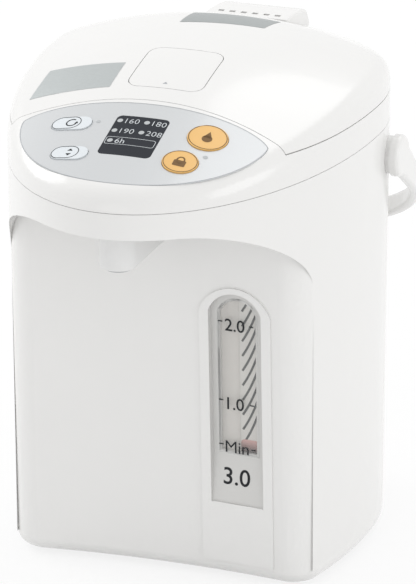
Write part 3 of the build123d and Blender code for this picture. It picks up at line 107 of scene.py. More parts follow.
class ShellSettings(bpy.types.PropertyGroup):
    warm_white: colour("Warm White", "Gloss plastic of the body, lid and handle", (0.80, 0.796, 0.785))
    face_white: colour("Face White", "Plastic of the spout's cowl", (0.74, 0.74, 0.735))
    roughness: share("Gloss Roughness", "Roughness of the gloss plastic", 0.22)
    foil: colour("Foil", "Bare metal foil patches on the lid", (0.50, 0.53, 0.53))


class PanelSettings(bpy.types.PropertyGroup):
    film: colour("Film", "Printed film of the control panel", (0.60, 0.615, 0.625))
    amber: colour("Amber", "Dispense and lock buttons", (0.80, 0.47, 0.135))
    display: colour("Display", "Dark display window", (0.016, 0.02, 0.028))
    print_dark: colour("Print", "Dark print on the film", (0.02, 0.022, 0.025))
    print_light: colour("Display Print", "Pale print on the display", (0.62, 0.65, 0.67))
    print_lift: length("Print Lift", "Height of the print over what it is printed on", 0.08 * MM)


class GaugeSettings(bpy.types.PropertyGroup):
    backing: colour("Backing", "Strip behind the sight tube", (0.86, 0.84, 0.80))
    card: colour("Card", "Card that carries the slanting lines", (0.66, 0.64, 0.61))
    hatch: colour("Hatch", "Slanting lines behind the window", (0.03, 0.03, 0.03))
    float_red: colour("Low Mark", "Reddish low level mark", (0.60, 0.34, 0.31))
    digit_height: length("Digit Height", "Height of the litre numbers", 7.2 * MM)
    hatch_pitch: length("Hatch Pitch", "Spacing of the slanting lines", 8.6 * MM)
    hatch_rise: length("Hatch Rise", "Height each line climbs across the strip", 24.0 * MM)


class StageSettings(bpy.types.PropertyGroup):
    key_power: power("Key Power", "Soft light at the upper left", 17.8)
    side_power: power("Side Power", "Soft light at the right", 9.0)
    top_power: power("Top Power", "Soft light overhead", 6.8)
    front_power: power("Front Power", "Soft low light from the front", 3.0)
    room_level: FloatProperty(name="Room Level", description="Even light of the room", default=0.9)
    distance: length("Camera Distance", "Camera to the pot", 2.67767)
    azimuth: angle("Azimuth", "Camera direction round the pot", 19.31)
    elevation: angle("Elevation", "Camera height above the horizon", 20.28)


# ---------------------------------------------------------------- shader writing
MIX_FACTOR = 0
MIX_FIRST = 6
MIX_SECOND = 7
MIX_RESULT = 2


class Wire:
    """A node's output, for writing shader sums as plain expressions."""

    def __init__(self, paint, socket):
        self.paint = paint
        self.socket = socket

    def _math(self, operation, a, b):
        return self.paint.node("ShaderNodeMath", {"operation": operation}, [a, b])

    def __add__(self, other):
        return self._math("ADD", self, other)

    def __radd__(self, other):
        return self._math("ADD", other, self)

    def __sub__(self, other):
        return self._math("SUBTRACT", self, other)

    def __mul__(self, other):
        return self._math("MULTIPLY", self, other)

    def __truediv__(self, other):
        return self._math("DIVIDE", self, other)


class Paint:
    """One material and its nodes."""

    def __init__(self, name):
        self.material = bpy.data.materials.new(name)
        self.material.use_nodes = True
        self.tree = self.material.node_tree
        self.shader = self.tree.nodes["Principled BSDF"]
        self.output = self.tree.nodes["Material Output"]

    def node(self, kind, settings=None, inputs=(), output=0):
        made = self.tree.nodes.new(kind)
        for key, value in (settings or {}).items():
            setattr(made, key, value)
        pairs = inputs.items() if isinstance(inputs, dict) else enumerate(inputs)
        for key, value in pairs:
            self.feed(made.inputs[key], value)
        return Wire(self, made.outputs[output])

    def feed(self, socket, value):
        if isinstance(value, Wire):
            self.tree.links.new(value.socket, socket)
        elif isinstance(value, tuple) and socket.type == "RGBA":
            socket.default_value = (*value, 1.0)
        else:
            socket.default_value = value

    def set(self, **values):
        for key, value in values.items():
            self.feed(self.shader.inputs[key.replace("_", " ")], value)
        return self

    def place(self, scale):
        """Object coordinates, stretched by scale."""
        at = self.node("ShaderNodeTexCoord", output="Object")
        return self.node("ShaderNodeMapping", {}, {"Vector": at, "Scale": scale})

    def noise(self, scale, detail=2.0, stretch=(1, 1, 1)):
        inputs = {"Vector": self.place(stretch), "Scale": scale, "Detail": detail}
        return self.node("ShaderNodeTexNoise", {}, inputs)

    def mix(self, factor, first, second):
        """Two colours mixed; the node has one set of sockets for each kind, so they go by number."""
        inputs = {MIX_FACTOR: factor, MIX_FIRST: first, MIX_SECOND: second}
        return self.node("ShaderNodeMix", {"data_type": "RGBA"}, inputs, output=MIX_RESULT)

    def tint(self, base, amount, scale, detail=3.0):
        """The colour, a little darker in soft patches."""
        return self.mix(self.noise(scale, detail), scaled(base, 1 - amount), base)

    def bump(self, height, strength, distance):
        inputs = {"Strength": strength, "Distance": distance, "Height": height}
        made = self.node("ShaderNodeBump", {}, inputs)
        self.tree.links.new(made.socket, self.shader.inputs["Normal"])
        return self


def rgb(value):
    return (value[0], value[1], value[2])


def scaled(base, factor):
    """A colour made lighter or darker, and no lighter than white."""
    return tuple(min(1, c * factor) for c in base)


def gloss_plastic(name, base, roughness):
    paint = Paint(name)
    wave = paint.noise(9.0, 1.0)
    paint.set(Base_Color=paint.tint(base, 0.012, 30.0), Roughness=roughness - 0.03 + wave * 0.06)
    paint.set(IOR=1.49, Coat_Weight=0.25, Coat_Roughness=0.08)
    return paint.bump(paint.noise(900.0, 2.0), 0.05, 0.00005).material


def satin_plastic(name, base, roughness=0.42):
    paint = Paint(name)
    paint.set(Base_Color=paint.tint(base, 0.05, 40.0))
    paint.set(Roughness=roughness - 0.04 + paint.noise(60.0) * 0.08)
    return paint.bump(paint.noise(1400.0, 3.0), 0.14, 0.0001).material


def film_print(name, base):
    paint = Paint(name)
    fleck = paint.noise(5200.0, 2.0)
    paint.set(Base_Color=paint.mix(fleck, scaled(base, 0.93), scaled(base, 1.05)))
    paint.set(Metallic=0.25, Roughness=0.32 + fleck * 0.08, Coat_Weight=0.5, Coat_Roughness=0.12)
    return paint.bump(paint.noise(2600.0, 2.0), 0.05, 0.00004).material


def button_film(name, base):
    paint = Paint(name)
    paint.set(Base_Color=paint.tint(base, 0.05, 120.0, 4.0))
    paint.set(Roughness=0.38 + paint.noise(300.0) * 0.06)
    paint.set(Coat_Weight=0.35, Coat_Roughness=0.2)
    return paint.bump(paint.noise(2600.0, 2.0), 0.07, 0.00004).material


def dark_glass(name, base):
    paint = Paint(name)
    paint.set(Base_Color=paint.tint(base, 0.18, 60.0), Roughness=0.3 + paint.noise(80.0) * 0.05)
    paint.set(IOR=1.4, Specular_IOR_Level=0.3)
    return paint.material


def flat_ink(name, base):
    paint = Paint(name)
    paint.set(Base_Color=paint.tint(base, 0.08, 400.0), Roughness=0.5, Specular_IOR_Level=0.2)
    return paint.material


def painted_shade_ink(name, base, dark, low, high):
    """A print with painted shade: it turns dark towards its foot."""
    paint = Paint(name)
    at = paint.node("ShaderNodeTexCoord", output="Object")
    upward = paint.node("ShaderNodeSeparateXYZ", {}, [at], output="Z")
    ramp = (upward - low) / (high - low) * 1.6 - 0.2 + paint.noise(300.0) * 0.15
    paint.set(Base_Color=paint.mix(ramp, dark, base), Roughness=0.35)
    return paint.material


def metal(name, base, roughness, stretch=(1, 1, 1)):
    paint = Paint(name)
    grain = paint.noise(260.0, 3.0, stretch)
    paint.set(Base_Color=paint.mix(grain, scaled(base, 0.86), base), Metallic=1.0)
    paint.set(Roughness=roughness - 0.06 + grain * 0.12)
    return paint.bump(grain, 0.08, 0.00005).material


def foil_sheet(name, base):
    paint = Paint(name)
    grain = paint.noise(420.0, 3.0, (1, 6, 1))
    paint.set(Base_Color=paint.mix(grain, scaled(base, 0.88), scaled(base, 1.06)))
    paint.set(Metallic=0.55, Roughness=0.34 + grain * 0.12)
    return paint.bump(grain, 0.06, 0.00004).material


def clear_plastic(name, veil, base=(0.86, 0.87, 0.86)):
    """Clear plastic: a thin veil of its own colour over what lies behind, and a gloss."""
    paint = Paint(name)
    paint.set(Base_Color=base, Roughness=0.05 + paint.noise(40.0) * 0.03, IOR=1.45, Alpha=veil)
    return paint.material


def soft_rubber(name, base):
    paint = Paint(name)
    paint.set(Base_Color=paint.tint(base, 0.14, 60.0), Roughness=0.62 + paint.noise(120.0) * 0.12)
    return paint.bump(paint.noise(900.0, 3.0), 0.2, 0.0001).material


def felt(name, base):
    paint = Paint(name)
    paint.set(Base_Color=paint.tint(base, 0.2, 500.0, 5.0), Roughness=0.93)
    return paint.bump(paint.noise(1500.0, 5.0), 0.5, 0.0004).material


# ---------------------------------------------------------------- modelling helpers
def none_selected():
    active = bpy.context.view_layer.objects.active
    if active is not None and active.mode != "OBJECT":
        bpy.ops.object.mode_set(mode="OBJECT")
    bpy.ops.object.select_all(action="DESELECT")


def only(*objects):
    """Selects these objects and nothing else; the first is active."""
    none_selected()
    for one in objects:
        one.select_set(True)
    bpy.context.view_layer.objects.active = objects[0]


def edit():
    bpy.ops.object.mode_set(mode="EDIT")


def done():
    bpy.ops.object.mode_set(mode="OBJECT")


def edit_all():
    """Starts editing with all of the mesh selected."""
    edit()
    bpy.ops.mesh.select_all(action="SELECT")


def edit_none(kind):
    """Clears the selection of corners (VERT), edges (EDGE) or faces (FACE)."""
    edit()
    bpy.ops.mesh.select_mode(type=kind)
    bpy.ops.mesh.select_all(action="DESELECT")
    done()


def settle(obj):
    """Puts the object's place into its mesh."""
    only(obj)
    bpy.ops.object.transform_apply(location=True, rotation=True, scale=True)
    return obj


def finish_piece(obj, name, material, body):
    obj.name = name
    obj.data.name = name
    obj.data.materials.clear()
    obj.data.materials.append(material)
    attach(obj, body)
    return obj


def modifier(obj, kind, **settings):
    only(obj)
    made = obj.modifiers.new(kind.title(), kind)
    for key, value in settings.items():
        setattr(made, key, value)
    bpy.ops.object.modifier_apply(modifier=made.name)
    return obj


def joined(objects, name):
    only(*objects)
    if len(objects) > 1:
        bpy.ops.object.join()
    objects[0].name = name
    return objects[0]


def smooth_copy(node, angle=28.0):
    """A merged, smoothly shaded copy of a moulded node."""
    source = frame["nodes"][node]
    only(source)
    bpy.ops.object.duplicate()
    copy = bpy.context.view_layer.objects.active
    if copy.data.has_custom_normals:
        bpy.ops.mesh.customdata_custom_splitnormals_clear()
    edit_all()
    bpy.ops.mesh.remove_doubles(threshold=0.004 * MM)
    done()
    bpy.ops.object.shade_smooth_by_angle(angle=math.radians(angle))
    modifier(copy, "WEIGHTED_NORMAL", keep_sharp=True, weight=60)
    return copy


def disc(x, y, width, height=None, corners=48):
    """A flat filled oval or circle, drawn in plan."""
    none_selected()
    bpy.ops.mesh.primitive_circle_add(
        vertices=corners, radius=0.5, fill_type="NGON", location=(x, y, 0)
    )
    made = bpy.context.view_layer.objects.active
    made.scale = (width, height or width, 1)
    return settle(made)


def capsule(x, y, width, height):
    """A flat filled oval with straight sides, drawn in plan."""
    made = disc(x, y, height)
    half = (width - height) / 2
    edit()
    bpy.ops.mesh.select_all(action="DESELECT")
    done()
    for side in (1, -1):
        for vertex in made.data.vertices:
            vertex.select = (vertex.co.x - x) * side > SAME_PLACE
        edit()
        bpy.ops.transform.translate(value=(half * side, 0, 0))
        done()
    return made


def rim_of(made, thickness):
    """Keeps only a thin band inside the edge of a flat shape."""
    only(made)
    edit_all()
    bpy.ops.mesh.inset(thickness=thickness, depth=0, use_boundary=True)
    bpy.ops.mesh.delete(type="FACE")
    done()
    return made


def plate(x, y, width, height, corner):
    """A flat plate with rounded corners, drawn in plan."""
    none_selected()
    bpy.ops.mesh.primitive_plane_add(size=1, location=(x, y, 0))
    made = bpy.context.view_layer.objects.active
    made.scale = (width, height, 1)
    settle(made)
    edit_all()
    if corner > 0:
        bpy.ops.mesh.bevel(offset=corner, segments=6, affect="VERTICES")
    done()
    return made


DIGIT_SHARE = 0.72  # of the font's size, the height of a digit


def words(text, x, y, height, spacing=1.0, bold=0.0):
    """Numbers or letters as a flat mesh, centred in plan; height is that of a digit."""
    none_selected()
    bpy.ops.object.text_add(location=(0, 0, 0))
    made = bpy.context.view_layer.objects.active
    made.data.body = text
    made.data.size = height / DIGIT_SHARE
    made.data.space_character = spacing
    made.data.offset = bold * height
    made.data.align_x = "CENTER"
    made.data.align_y = "CENTER"
    made.data.resolution_u = 4
    bpy.ops.object.convert(target="MESH")
    made = bpy.context.view_layer.objects.active
    across = [corner.co.x for corner in made.data.vertices]
    upward = [corner.co.y for corner in made.data.vertices]
    middle = (Vector((min(across), min(upward))) + Vector((max(across), max(upward)))) / 2
    made.location = (x - middle.x, y - middle.y, 0)
    return settle(made)


def strip(points, width):
    """A thin ribbon along points, drawn in plan."""
    made = []
    for (x0, y0), (x1, y1) in zip(points, points[1:]):
        run = math.hypot(x1 - x0, y1 - y0)
        turn = math.atan2(y1 - y0, x1 - x0)
        none_selected()
        middle = ((x0 + x1) / 2, (y0 + y1) / 2, 0)
        bpy.ops.mesh.primitive_plane_add(size=1, location=middle, rotation=(0, 0, turn))
        one = bpy.context.view_layer.objects.active
        one.scale = (run + width * 0.4, width, 1)
        made.append(settle(one))
    return joined(made, "strip")


def trimmed(obj, kind, unwanted):
    """Deletes the corners (VERT) or faces (FACE) that fit the test."""
    only(obj)
    edit_none(kind)
    for part in obj.data.vertices if kind == "VERT" else obj.data.polygons:
        part.select = unwanted(part)
    edit()
    bpy.ops.mesh.delete(type=kind)
    done()
    return obj


def drop_onto(obj, target, lift, axis="Z"):
    """Lays a flat print on the surface under it, and trims what lies beyond that surface."""
    only(obj)
    along = "XYZ".index(axis)
    start = obj.data.vertices[0].co[along]
    wrap = obj.modifiers.new("Lay", "SHRINKWRAP")
    wrap.target = target
    wrap.wrap_method = "PROJECT"
    wrap.wrap_mode = "ABOVE_SURFACE"
    wrap.use_project_x = False
    wrap.use_project_y = axis == "Y"
    wrap.use_project_z = axis == "Z"
    wrap.use_positive_direction = axis == "Y"
    wrap.use_negative_direction = axis == "Z"
    wrap.offset = lift
    bpy.ops.object.modifier_apply(modifier=wrap.name)
    return trimmed(obj, "VERT", lambda corner: abs(corner.co[along] - start) < 0.01 * MM)


def raised(obj, height):
    only(obj)
    obj.location.z = height
    return settle(obj)


def stood_up(obj, front):
    """Turns a drawing in plan upright, so that it faces the front at a depth."""
    only(obj)
    obj.rotation_euler = (math.radians(90), 0, 0)
    obj.location = (0, front, 0)
    return settle(obj)


MOST_SPLITS = 7


def cut_finer(obj, longest=1.2 * MM):
    """Splits the long edges of a flat shape so that it can follow a curved surface."""
    only(obj)
    edit_all()
    bpy.ops.mesh.quads_convert_to_tris()
    done()
    for _ in range(MOST_SPLITS):
        found = 0
        edit_none("EDGE")
        points = [vertex.co for vertex in obj.data.vertices]
        for edge in obj.data.edges:
            edge.select = (points[edge.vertices[0]] - points[edge.vertices[1]]).length > longest
            found += edge.select
        if not found:
            break
        edit()
        bpy.ops.mesh.subdivide(number_cuts=1)
        bpy.ops.mesh.select_all(action="SELECT")
        bpy.ops.mesh.quads_convert_to_tris()
        done()
    return obj


# ---------------------------------------------------------------- materials in use
kit = {}


def materials(context):
    """The pot's finishes, made once."""
    if kit:
        return kit
    shell = context.scene.pot_shell
    panel = context.scene.pot_panel
    gauge = context.scene.pot_gauge
    kit["shell"] = gloss_plastic("Warm White Gloss", rgb(shell.warm_white), shell.roughness)
    kit["face"] = gloss_plastic("Face White Gloss", rgb(shell.face_white), 0.3)
    kit["foil"] = foil_sheet("Bare Foil", rgb(shell.foil))
    # the same foil darkened to 0.8 for the rear patch: painted shade
    kit["foil_painted_shade"] = foil_sheet("Bare Foil Painted Shade", scaled(shell.foil, 0.8))
    kit["film"] = film_print("Silver Film", rgb(panel.film))
    kit["amber"] = button_film("Amber Film", rgb(panel.amber))
    kit["silver_button"] = button_film("Silver Button Film", (0.72, 0.76, 0.79))
    kit["display"] = dark_glass("Display Window", rgb(panel.display))
    kit["ink"] = flat_ink("Dark Print", rgb(panel.print_dark))
    kit["grey_ink"] = flat_ink("Grey Print", (0.42, 0.44, 0.46))
    kit["brown_ink"] = flat_ink("Brown Print", (0.20, 0.115, 0.045))
    kit["pale_ink"] = flat_ink("Pale Print", rgb(panel.print_light))
    kit["dot"] = flat_ink("Unlit Lamp", (0.50, 0.52, 0.53))
    kit["backing"] = satin_plastic("Gauge Backing", rgb(gauge.backing), 0.4)
    kit["hatch"] = flat_ink("Hatch Print", rgb(gauge.hatch))
    # the dark foot of the low mark is painted shade
    low_painted_shade = (0.05, 0.035, 0.035)
    kit["low"] = painted_shade_ink("Low Mark Print Painted Shade", rgb(gauge.float_red), low_painted_shade, 76.5 * MM, 87.5 * MM)
    kit["card"] = satin_plastic("Gauge Card", rgb(gauge.card), 0.4)
    kit["clear"] = clear_plastic("Clear Plastic", 0.10)
    # the frost veil and the nearly opaque pale tube are partly their own pale colour, partly painted
    # light for the shaded channel behind the window
    kit["frost"] = clear_plastic("Frosted Plastic Painted Light", 0.7, (0.80, 0.765, 0.725))
    kit["tube"] = clear_plastic("Sight Tube Painted Light", 0.80, (0.93, 0.91, 0.88))
    # a darker copy of the white for the gauge recess: painted shade
    kit["recess"] = satin_plastic("Recess White Painted Shade", (0.66, 0.655, 0.64), 0.36)
    kit["grey_plastic"] = satin_plastic("Grey Moulding", (0.42, 0.43, 0.44))
    kit["black"] = satin_plastic("Black Moulding", (0.022, 0.022, 0.023), 0.5)
    kit["steel"] = metal("Drawn Steel", (0.60, 0.60, 0.61), 0.3, (1, 1, 14))
    kit["pin"] = metal("Turned Steel", (0.58, 0.58, 0.59), 0.25)
    kit["brass"] = metal("Plated Brass", (0.76, 0.60, 0.30), 0.25)
    kit["silicone"] = soft_rubber("Clear Grey Silicone", (0.62, 0.62, 0.60))
    kit["rubber"] = soft_rubber("Foot Rubber", (0.10, 0.10, 0.10))
    kit["felt"] = felt("Insulating Felt", (0.62, 0.62, 0.60))
    kit["board"] = satin_plastic("Board Lacquer", (0.02, 0.12, 0.05), 0.35)
    return kit


NODE_FINISH = {
    "tank": "steel", "tank_gasket": "silicone", "heat_wrap": "felt", "band_heater": "steel",
    "thermostat": "black", "pump_base": "grey_plastic", "pump_housing": "grey_plastic",
    "impeller": "grey_plastic", "motor": "steel", "motor_rotor": "black",
    "suction_pipe": "silicone", "delivery_hose": "silicone", "gauge_tube": "tube",
    "outlet_pipe": "grey_plastic", "gauge_window": "clear", "gauge_backing": "backing",
    "control_board": "board", "power_board": "board", "inlet_socket": "black",
    "inlet_pins": "brass", "base_plate": "black", "rubber_feet": "rubber", "base_screws": "pin",
    "hinge_pin": "pin", "lid_base": "grey_plastic", "lid_gasket": "silicone",
    "inner_lid_plate": "steel", "steam_cap": "grey_plastic", "lever_pin": "pin",
    "latch_bolt": "grey_plastic", "latch_spring": "pin", "handle_studs": "pin",
    "spout_nozzle": "grey_plastic",
}


class POT_OT_inner_parts(bpy.types.Operator):
    """Gives the working parts inside the pot their finishes"""

    bl_idname = "pot.inner_parts"
    bl_label = "Inner Parts"

    def execute(self, context):
        paints = materials(context)
        for node, finish in NODE_FINISH.items():
            obj = frame["nodes"][node]
            obj.data.materials.clear()
            obj.data.materials.append(paints[finish])
        return {"FINISHED"}


SHELLS = (
    ("outer_case", "body", "shell", "white_shell", 24.0),
    ("shoulder", "body", "shell", "white_shell", 24.0),
    ("spout_cowl", "body", "face", "face_grey", 30.0),
    ("gauge_bezel", "body", "shell", "white_shell", 24.0),
    ("lid_cover", "lid", "shell", "white_shell", 24.0),
    ("steam_vent", "lid", "shell", "white_shell", 28.0),
    ("lid_lever", "lever", "shell", "white_shell", 24.0),
    ("handle_bail", "handle", "shell", "white_shell", 35.0),
    ("control_film", "body", "film", "film", 30.0),
    ("display_window", "body", "display", "display", 30.0),
    ("dispense_button", "dispense_key", "amber", "button_amber", 30.0),
    ("lock_button", "lock_key", "amber", "button_amber", 30.0),
    ("reboil_button", "reboil_key", "silver_button", "button_silver", 30.0),
    ("select_button", "select_key", "silver_button", "button_silver", 30.0),
)
skins = {}


def face_front(x, z):
    """Depth of the face under the nose at a place on it, in mm."""
    lean = FACE_LEAN * (z - FACE_BASE_Z) / FACE_HEIGHT
    return FACE_BASE_Y - lean + FACE_BOW * (1 - (x / FACE_HALF_WIDTH) ** 2)


class POT_OT_shells(bpy.types.Operator):
    """Makes the smooth outer mouldings, the film and the buttons"""

    bl_idname = "pot.shells"
    bl_label = "Outer Mouldings"

    def execute(self, context):
        paints = materials(context)
        for node, body, finish, slot_name, angle in SHELLS:
            copy = smooth_copy(node, angle)
            finish_piece(copy, node + "_skin", paints[finish], body)
            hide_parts(node)
            skins[node] = copy
        bezel = skins["gauge_bezel"]
        # the recess faces of the bezel take the darker white as painted shade
        bezel.data.materials.append(paints["recess"])
        for face in bezel.data.polygons:
            x, y, z = face.center
            inside = abs(x - 44.8 * MM) < 15.5 * MM and 46.5 * MM < z < 170.6 * MM
            if inside and y / MM > face_front(x / MM, z / MM) - BEZEL_FLOOR_DEPTH:
                face.material_index = 1
        return {"FINISHED"}


def on_panel(obj, name, finish, target="control_film", body="body"):
    """Finishes a print that lies on the sloping panel."""
    cut_finer(obj)
    raised(obj, OVER_PANEL)
    drop_onto(obj, skins[target], bpy.context.scene.pot_panel.print_lift)
    return finish_piece(obj, name, kit[finish], body)


class POT_OT_film_edge(bpy.types.Operator):
    """Draws the thin grey line round the control film"""

    bl_idname = "pot.film_edge"
    bl_label = "Film Edge"

    def execute(self, context):
        materials(context)
        only(skins["control_film"])
        bpy.ops.object.duplicate()
        edge = bpy.context.view_layer.objects.active
        trimmed(edge, "FACE", lambda face: face.normal.z < 0.5)
        rim_of(edge, 0.4 * MM)
        widest = max(edge.data.vertices, key=lambda corner: corner.co.x).index
        edit_none("VERT")
        edge.data.vertices[widest].select = True
        edit()
        bpy.ops.mesh.select_linked()
        bpy.ops.mesh.select_all(action="INVERT")
        bpy.ops.mesh.delete(type="VERT")
        bpy.ops.mesh.select_all(action="SELECT")
        bpy.ops.transform.translate(value=(0, 0, 0.06 * MM))
        done()
        finish_piece(edge, "film_edge_line", kit["grey_ink"], "body")
        return {"FINISHED"}


class POT_OT_display_print(bpy.types.Operator):
    """Prints the temperatures, their lamps and the timer frame on the display"""

    bl_idname = "pot.display_print"
    bl_label = "Display Print"

    def execute(self, context):
        materials(context)
        rows = ((-82.0, ("160", "180")), (-90.8, ("190", "208")))
        columns = (-5.1, 9.9)
        timer_y = -99.6
        lamp_before = 7.0
        digit = 4.2 * MM
        lamp_width = 3.1 * MM
        made = []
        lamps = []
        for y, texts in rows:
            for x, text in zip(columns, texts):
                made.append(words(text, x * MM, y * MM, digit, 1.04, bold=-0.008))
                lamps.append(disc((x - lamp_before) * MM, y * MM, lamp_width, corners=28))
        made.append(words("6h", -5.9 * MM, timer_y * MM, digit))
        lamps.append(disc(-11.4 * MM, timer_y * MM, lamp_width, corners=28))
        timer_frame = plate(-0.3 * MM, -99.5 * MM, 27.4 * MM, 6.4 * MM, 1.5 * MM)
        made.append(rim_of(timer_frame, 0.32 * MM))
        numbers = joined(made, "numbers")
        on_panel(numbers, "display_numbers", "pale_ink", "display_window")
        unlit = joined(lamps, "lamps")
        on_panel(unlit, "display_lamps", "dot", "display_window")
        return {"FINISHED"}


def drop_icon(x, y, size):
    """A water drop: a disc with a point drawn out to the rear."""
    ball = disc(x, y, size, corners=48)
    none_selected()
    bpy.ops.mesh.primitive_circle_add(
        vertices=3, radius=size * 0.5, fill_type="NGON", location=(x, y + size * 0.45, 0)
    )
    point = bpy.context.view_layer.objects.active
    point.scale = (1.0, 1.25, 1)
    return joined([ball, settle(point)], "drop")


def padlock_icon(x, y, size):
    body = plate(x, y - size * 0.22, size * 0.86, size * 0.62, size * 0.1)
    bow = rim_of(disc(x, y + size * 0.10, size * 0.62, size * 0.78, corners=40), size * 0.11)
    return joined([body, bow], "padlock")


def turn_icon(x, y, size):
    """A curved arrow, for boiling again."""
    points = []
    steps = 12
    start = 60
    sweep = 290
    for step in range(steps + 1):
        turn = math.radians(start + sweep * step / steps)
        points.append((x + size / 2 * math.cos(turn), y + size / 2 * math.sin(turn)))
    band = strip(points, size * 0.13)
    head = disc(points[-1][0], points[-1][1] + size * 0.06, size * 0.42, corners=3)
    return joined([band, head], "turn")


def step_icon(x, y, size):
    """Two arrow heads, for stepping through a choice."""
    up = disc(x, y + size * 0.32, size * 0.62, size * 0.46, corners=3)
    down = disc(x, y - size * 0.32, size * 0.62, size * 0.46, corners=3)
    only(down)
    edit_all()
    bpy.ops.transform.rotate(value=math.pi, orient_axis="Z", center_override=(x, y - size * 0.32, 0))
    done()
    return joined([up, down], "step")


# node: middle, width and height, body, then the icon, its middle's y and its size
BUTTONS = {
    "dispense_button": (37.7, -85.1, 21.4, 21.4, "dispense_key", drop_icon, -86.5, 5.6),
    "lock_button": (30.9, -109.1, 19.0, 19.0, "lock_key", padlock_icon, -109.1, 7.8),
    "reboil_button": (-38.1, -85.3, 22.6, 11.6, "reboil_key", turn_icon, -85.3, 5.6),
    "select_button": (-29.5, -112.1, 20.6, 11.6, "select_key", step_icon, -112.1, 5.6),
}


class POT_OT_button_print(bpy.types.Operator):
    """Prints an outline and an icon on each button, and the lamps beside them"""

    bl_idname = "pot.button_print"
    bl_label = "Button Print"

    def execute(self, context):
        materials(context)
        margin = 0.7
        for node, (x, y, width, height, body, draw_icon, icon_y, icon_size) in BUTTONS.items():
            amber = width == height
            ink = "brown_ink" if amber else "ink"
            long = (width - margin) * MM
            wide = (height - margin) * MM * PANEL_SHARE
            if amber:
                edge = rim_of(disc(x * MM, y * MM, long, wide, corners=96), 0.45 * MM)
            else:
                edge = rim_of(capsule(x * MM, y * MM, long, wide), 0.4 * MM)
            on_panel(edge, node + "_outline", ink, node, body)
            icon = draw_icon(x * MM, icon_y * MM, icon_size * MM)
            on_panel(icon, node + "_icon", ink, node, body)
        lamps = [
            disc(x * MM, y * MM, width * MM, corners=24)
            for x, y, width in ((-23.7, -83.7, 2.5), (41.6, -100.2, 2.7))
        ]
        on_panel(joined(lamps, "film lamps"), "film_lamps", "dot")
        return {"FINISHED"}


class POT_OT_lid_marks(bpy.types.Operator):
    """Lays the two bare foil patches on the lid, the rear one with painted shade, and a small arrow on
    the lever
    """

    bl_idname = "pot.lid_marks"
    bl_label = "Lid Marks"

    def execute(self, context):
        materials(context)
        # the rear patch takes the darker foil, which is painted shade
        patches = (
            ("rear", "foil_painted_shade", ((-20.0, 57.5), (29.0, 61.0), (26.9, 38.4), (-19.8, 32.6))),
            ("side", "foil", ((-72.8, -26.5), (-29.6, -25.8), (-29.3, -51.6), (-73.4, -56.0))),
        )
        order = {(-1, 1): 0, (1, 1): 1, (1, -1): 2, (-1, -1): 3}
        for name, finish, corners in patches:
            none_selected()
            bpy.ops.mesh.primitive_plane_add(size=2, location=(0, 0, 0))
            made = bpy.context.view_layer.objects.active
            for vertex in made.data.vertices:
                x, y = corners[order[(round(vertex.co.x), round(vertex.co.y))]]
                vertex.co = (x * MM, y * MM, 0)
            edit_all()
            bpy.ops.mesh.subdivide(number_cuts=15)
            done()
            raised(made, OVER_LID)
            drop_onto(made, skins["lid_cover"], 0.1 * MM)
            finish_piece(made, "foil_patch_" + name, kit[finish], "lid")
        arrow = disc(0, -45.6 * MM, 3.2 * MM, 2.6 * MM, corners=3)
        raised(arrow, OVER_LID)
        drop_onto(arrow, skins["lid_lever"], 0.06 * MM)
        finish_piece(arrow, "lever_arrow", kit["grey_ink"], "lever")
        return {"FINISHED"}


def on_gauge(obj, name, finish, target, lift=0.06 * MM):
    """Finishes a print that stands on the gauge."""
    stood_up(obj, BEFORE_GAUGE)
    surface = skins[target] if target in skins else frame["nodes"][target]
    drop_onto(obj, surface, lift, "Y")
    return finish_piece(obj, name, kit[finish], "body")


class POT_OT_gauge(bpy.types.Operator):
    """Prints the litre marks, and the hatched strip and low mark behind the window"""

    bl_idname = "pot.gauge"
    bl_label = "Water Gauge"

    def execute(self, context):
        materials(context)
        settings = context.scene.pot_gauge
        height = settings.digit_height
        spacing = 0.98
        stroke = 0.012
        marks = []
        for text, x, z, weight, ticks in (
            ("2.0", 43.6, 151.2, stroke, ((35.2, 152.8), (53.2, 151.8))),
            ("1.0", 43.6, 105.4, stroke, ((35.2, 107.0), (53.2, 106.0))),
            ("Min", 44.2, 79.9, 0.0, ((35.0, 80.9), (53.9, 79.9))),
        ):
            marks.append(words(text, x * MM, z * MM, height, spacing, bold=weight))
            for tick_x, tick_z in ticks:
                marks.append(plate(tick_x * MM, tick_z * MM, 2.6 * MM, 0.75 * MM, 0))
        on_gauge(joined(marks, "marks"), "gauge_marks", "ink", "gauge_window")
        size = words("3.0", 43.9 * MM, 62.4 * MM, height * 1.36, bold=stroke)
        on_gauge(size, "gauge_size", "ink", "gauge_bezel")

        facing = Vector((-0.0805, -1, -0.0424)).to_track_quat("Z", "Y").to_euler()
        # the frost card is a pale veil over the sight tube, partly painted light for the shaded
        # channel behind it
        for name, finish, middle, width, depth in (
            ("gauge_card", "card", 51.2, 11.6, 55.34),
            ("gauge_frost", "frost", 39.2, 12.3, 54.37),
        ):
            card = plate(0, 0, width * MM, 96.0 * MM, 0)
            card.rotation_euler = facing
            card.location = (middle * MM, -depth * MM, 120.8 * MM)
            finish_piece(settle(card), name, kit[finish], "body")
            skins[name] = card

        lines = []
        left, right = 45.6 * MM, 56.9 * MM
        pieces = 8
        straight = 0.72
        for step in range(11):
            foot = 79.6 * MM + step * settings.hatch_pitch
            points = []
            for part in range(pieces + 1):
                across = part / pieces
                climb = straight * across + (1 - straight) * across**2.6
                points.append((left + (right - left) * across, foot + settings.hatch_rise * climb))
            lines.append(strip(points, 1.3 * MM))
        on_gauge(joined(lines, "lines"), "gauge_hatch", "hatch", "gauge_card")
        low = cut_finer(plate(51.2 * MM, 79.0 * MM, 11.0 * MM, 11.0 * MM, 2.2 * MM), 1.0 * MM)
        on_gauge(low, "gauge_low_mark", "low", "gauge_card", lift=0.14 * MM)
        return {"FINISHED"}


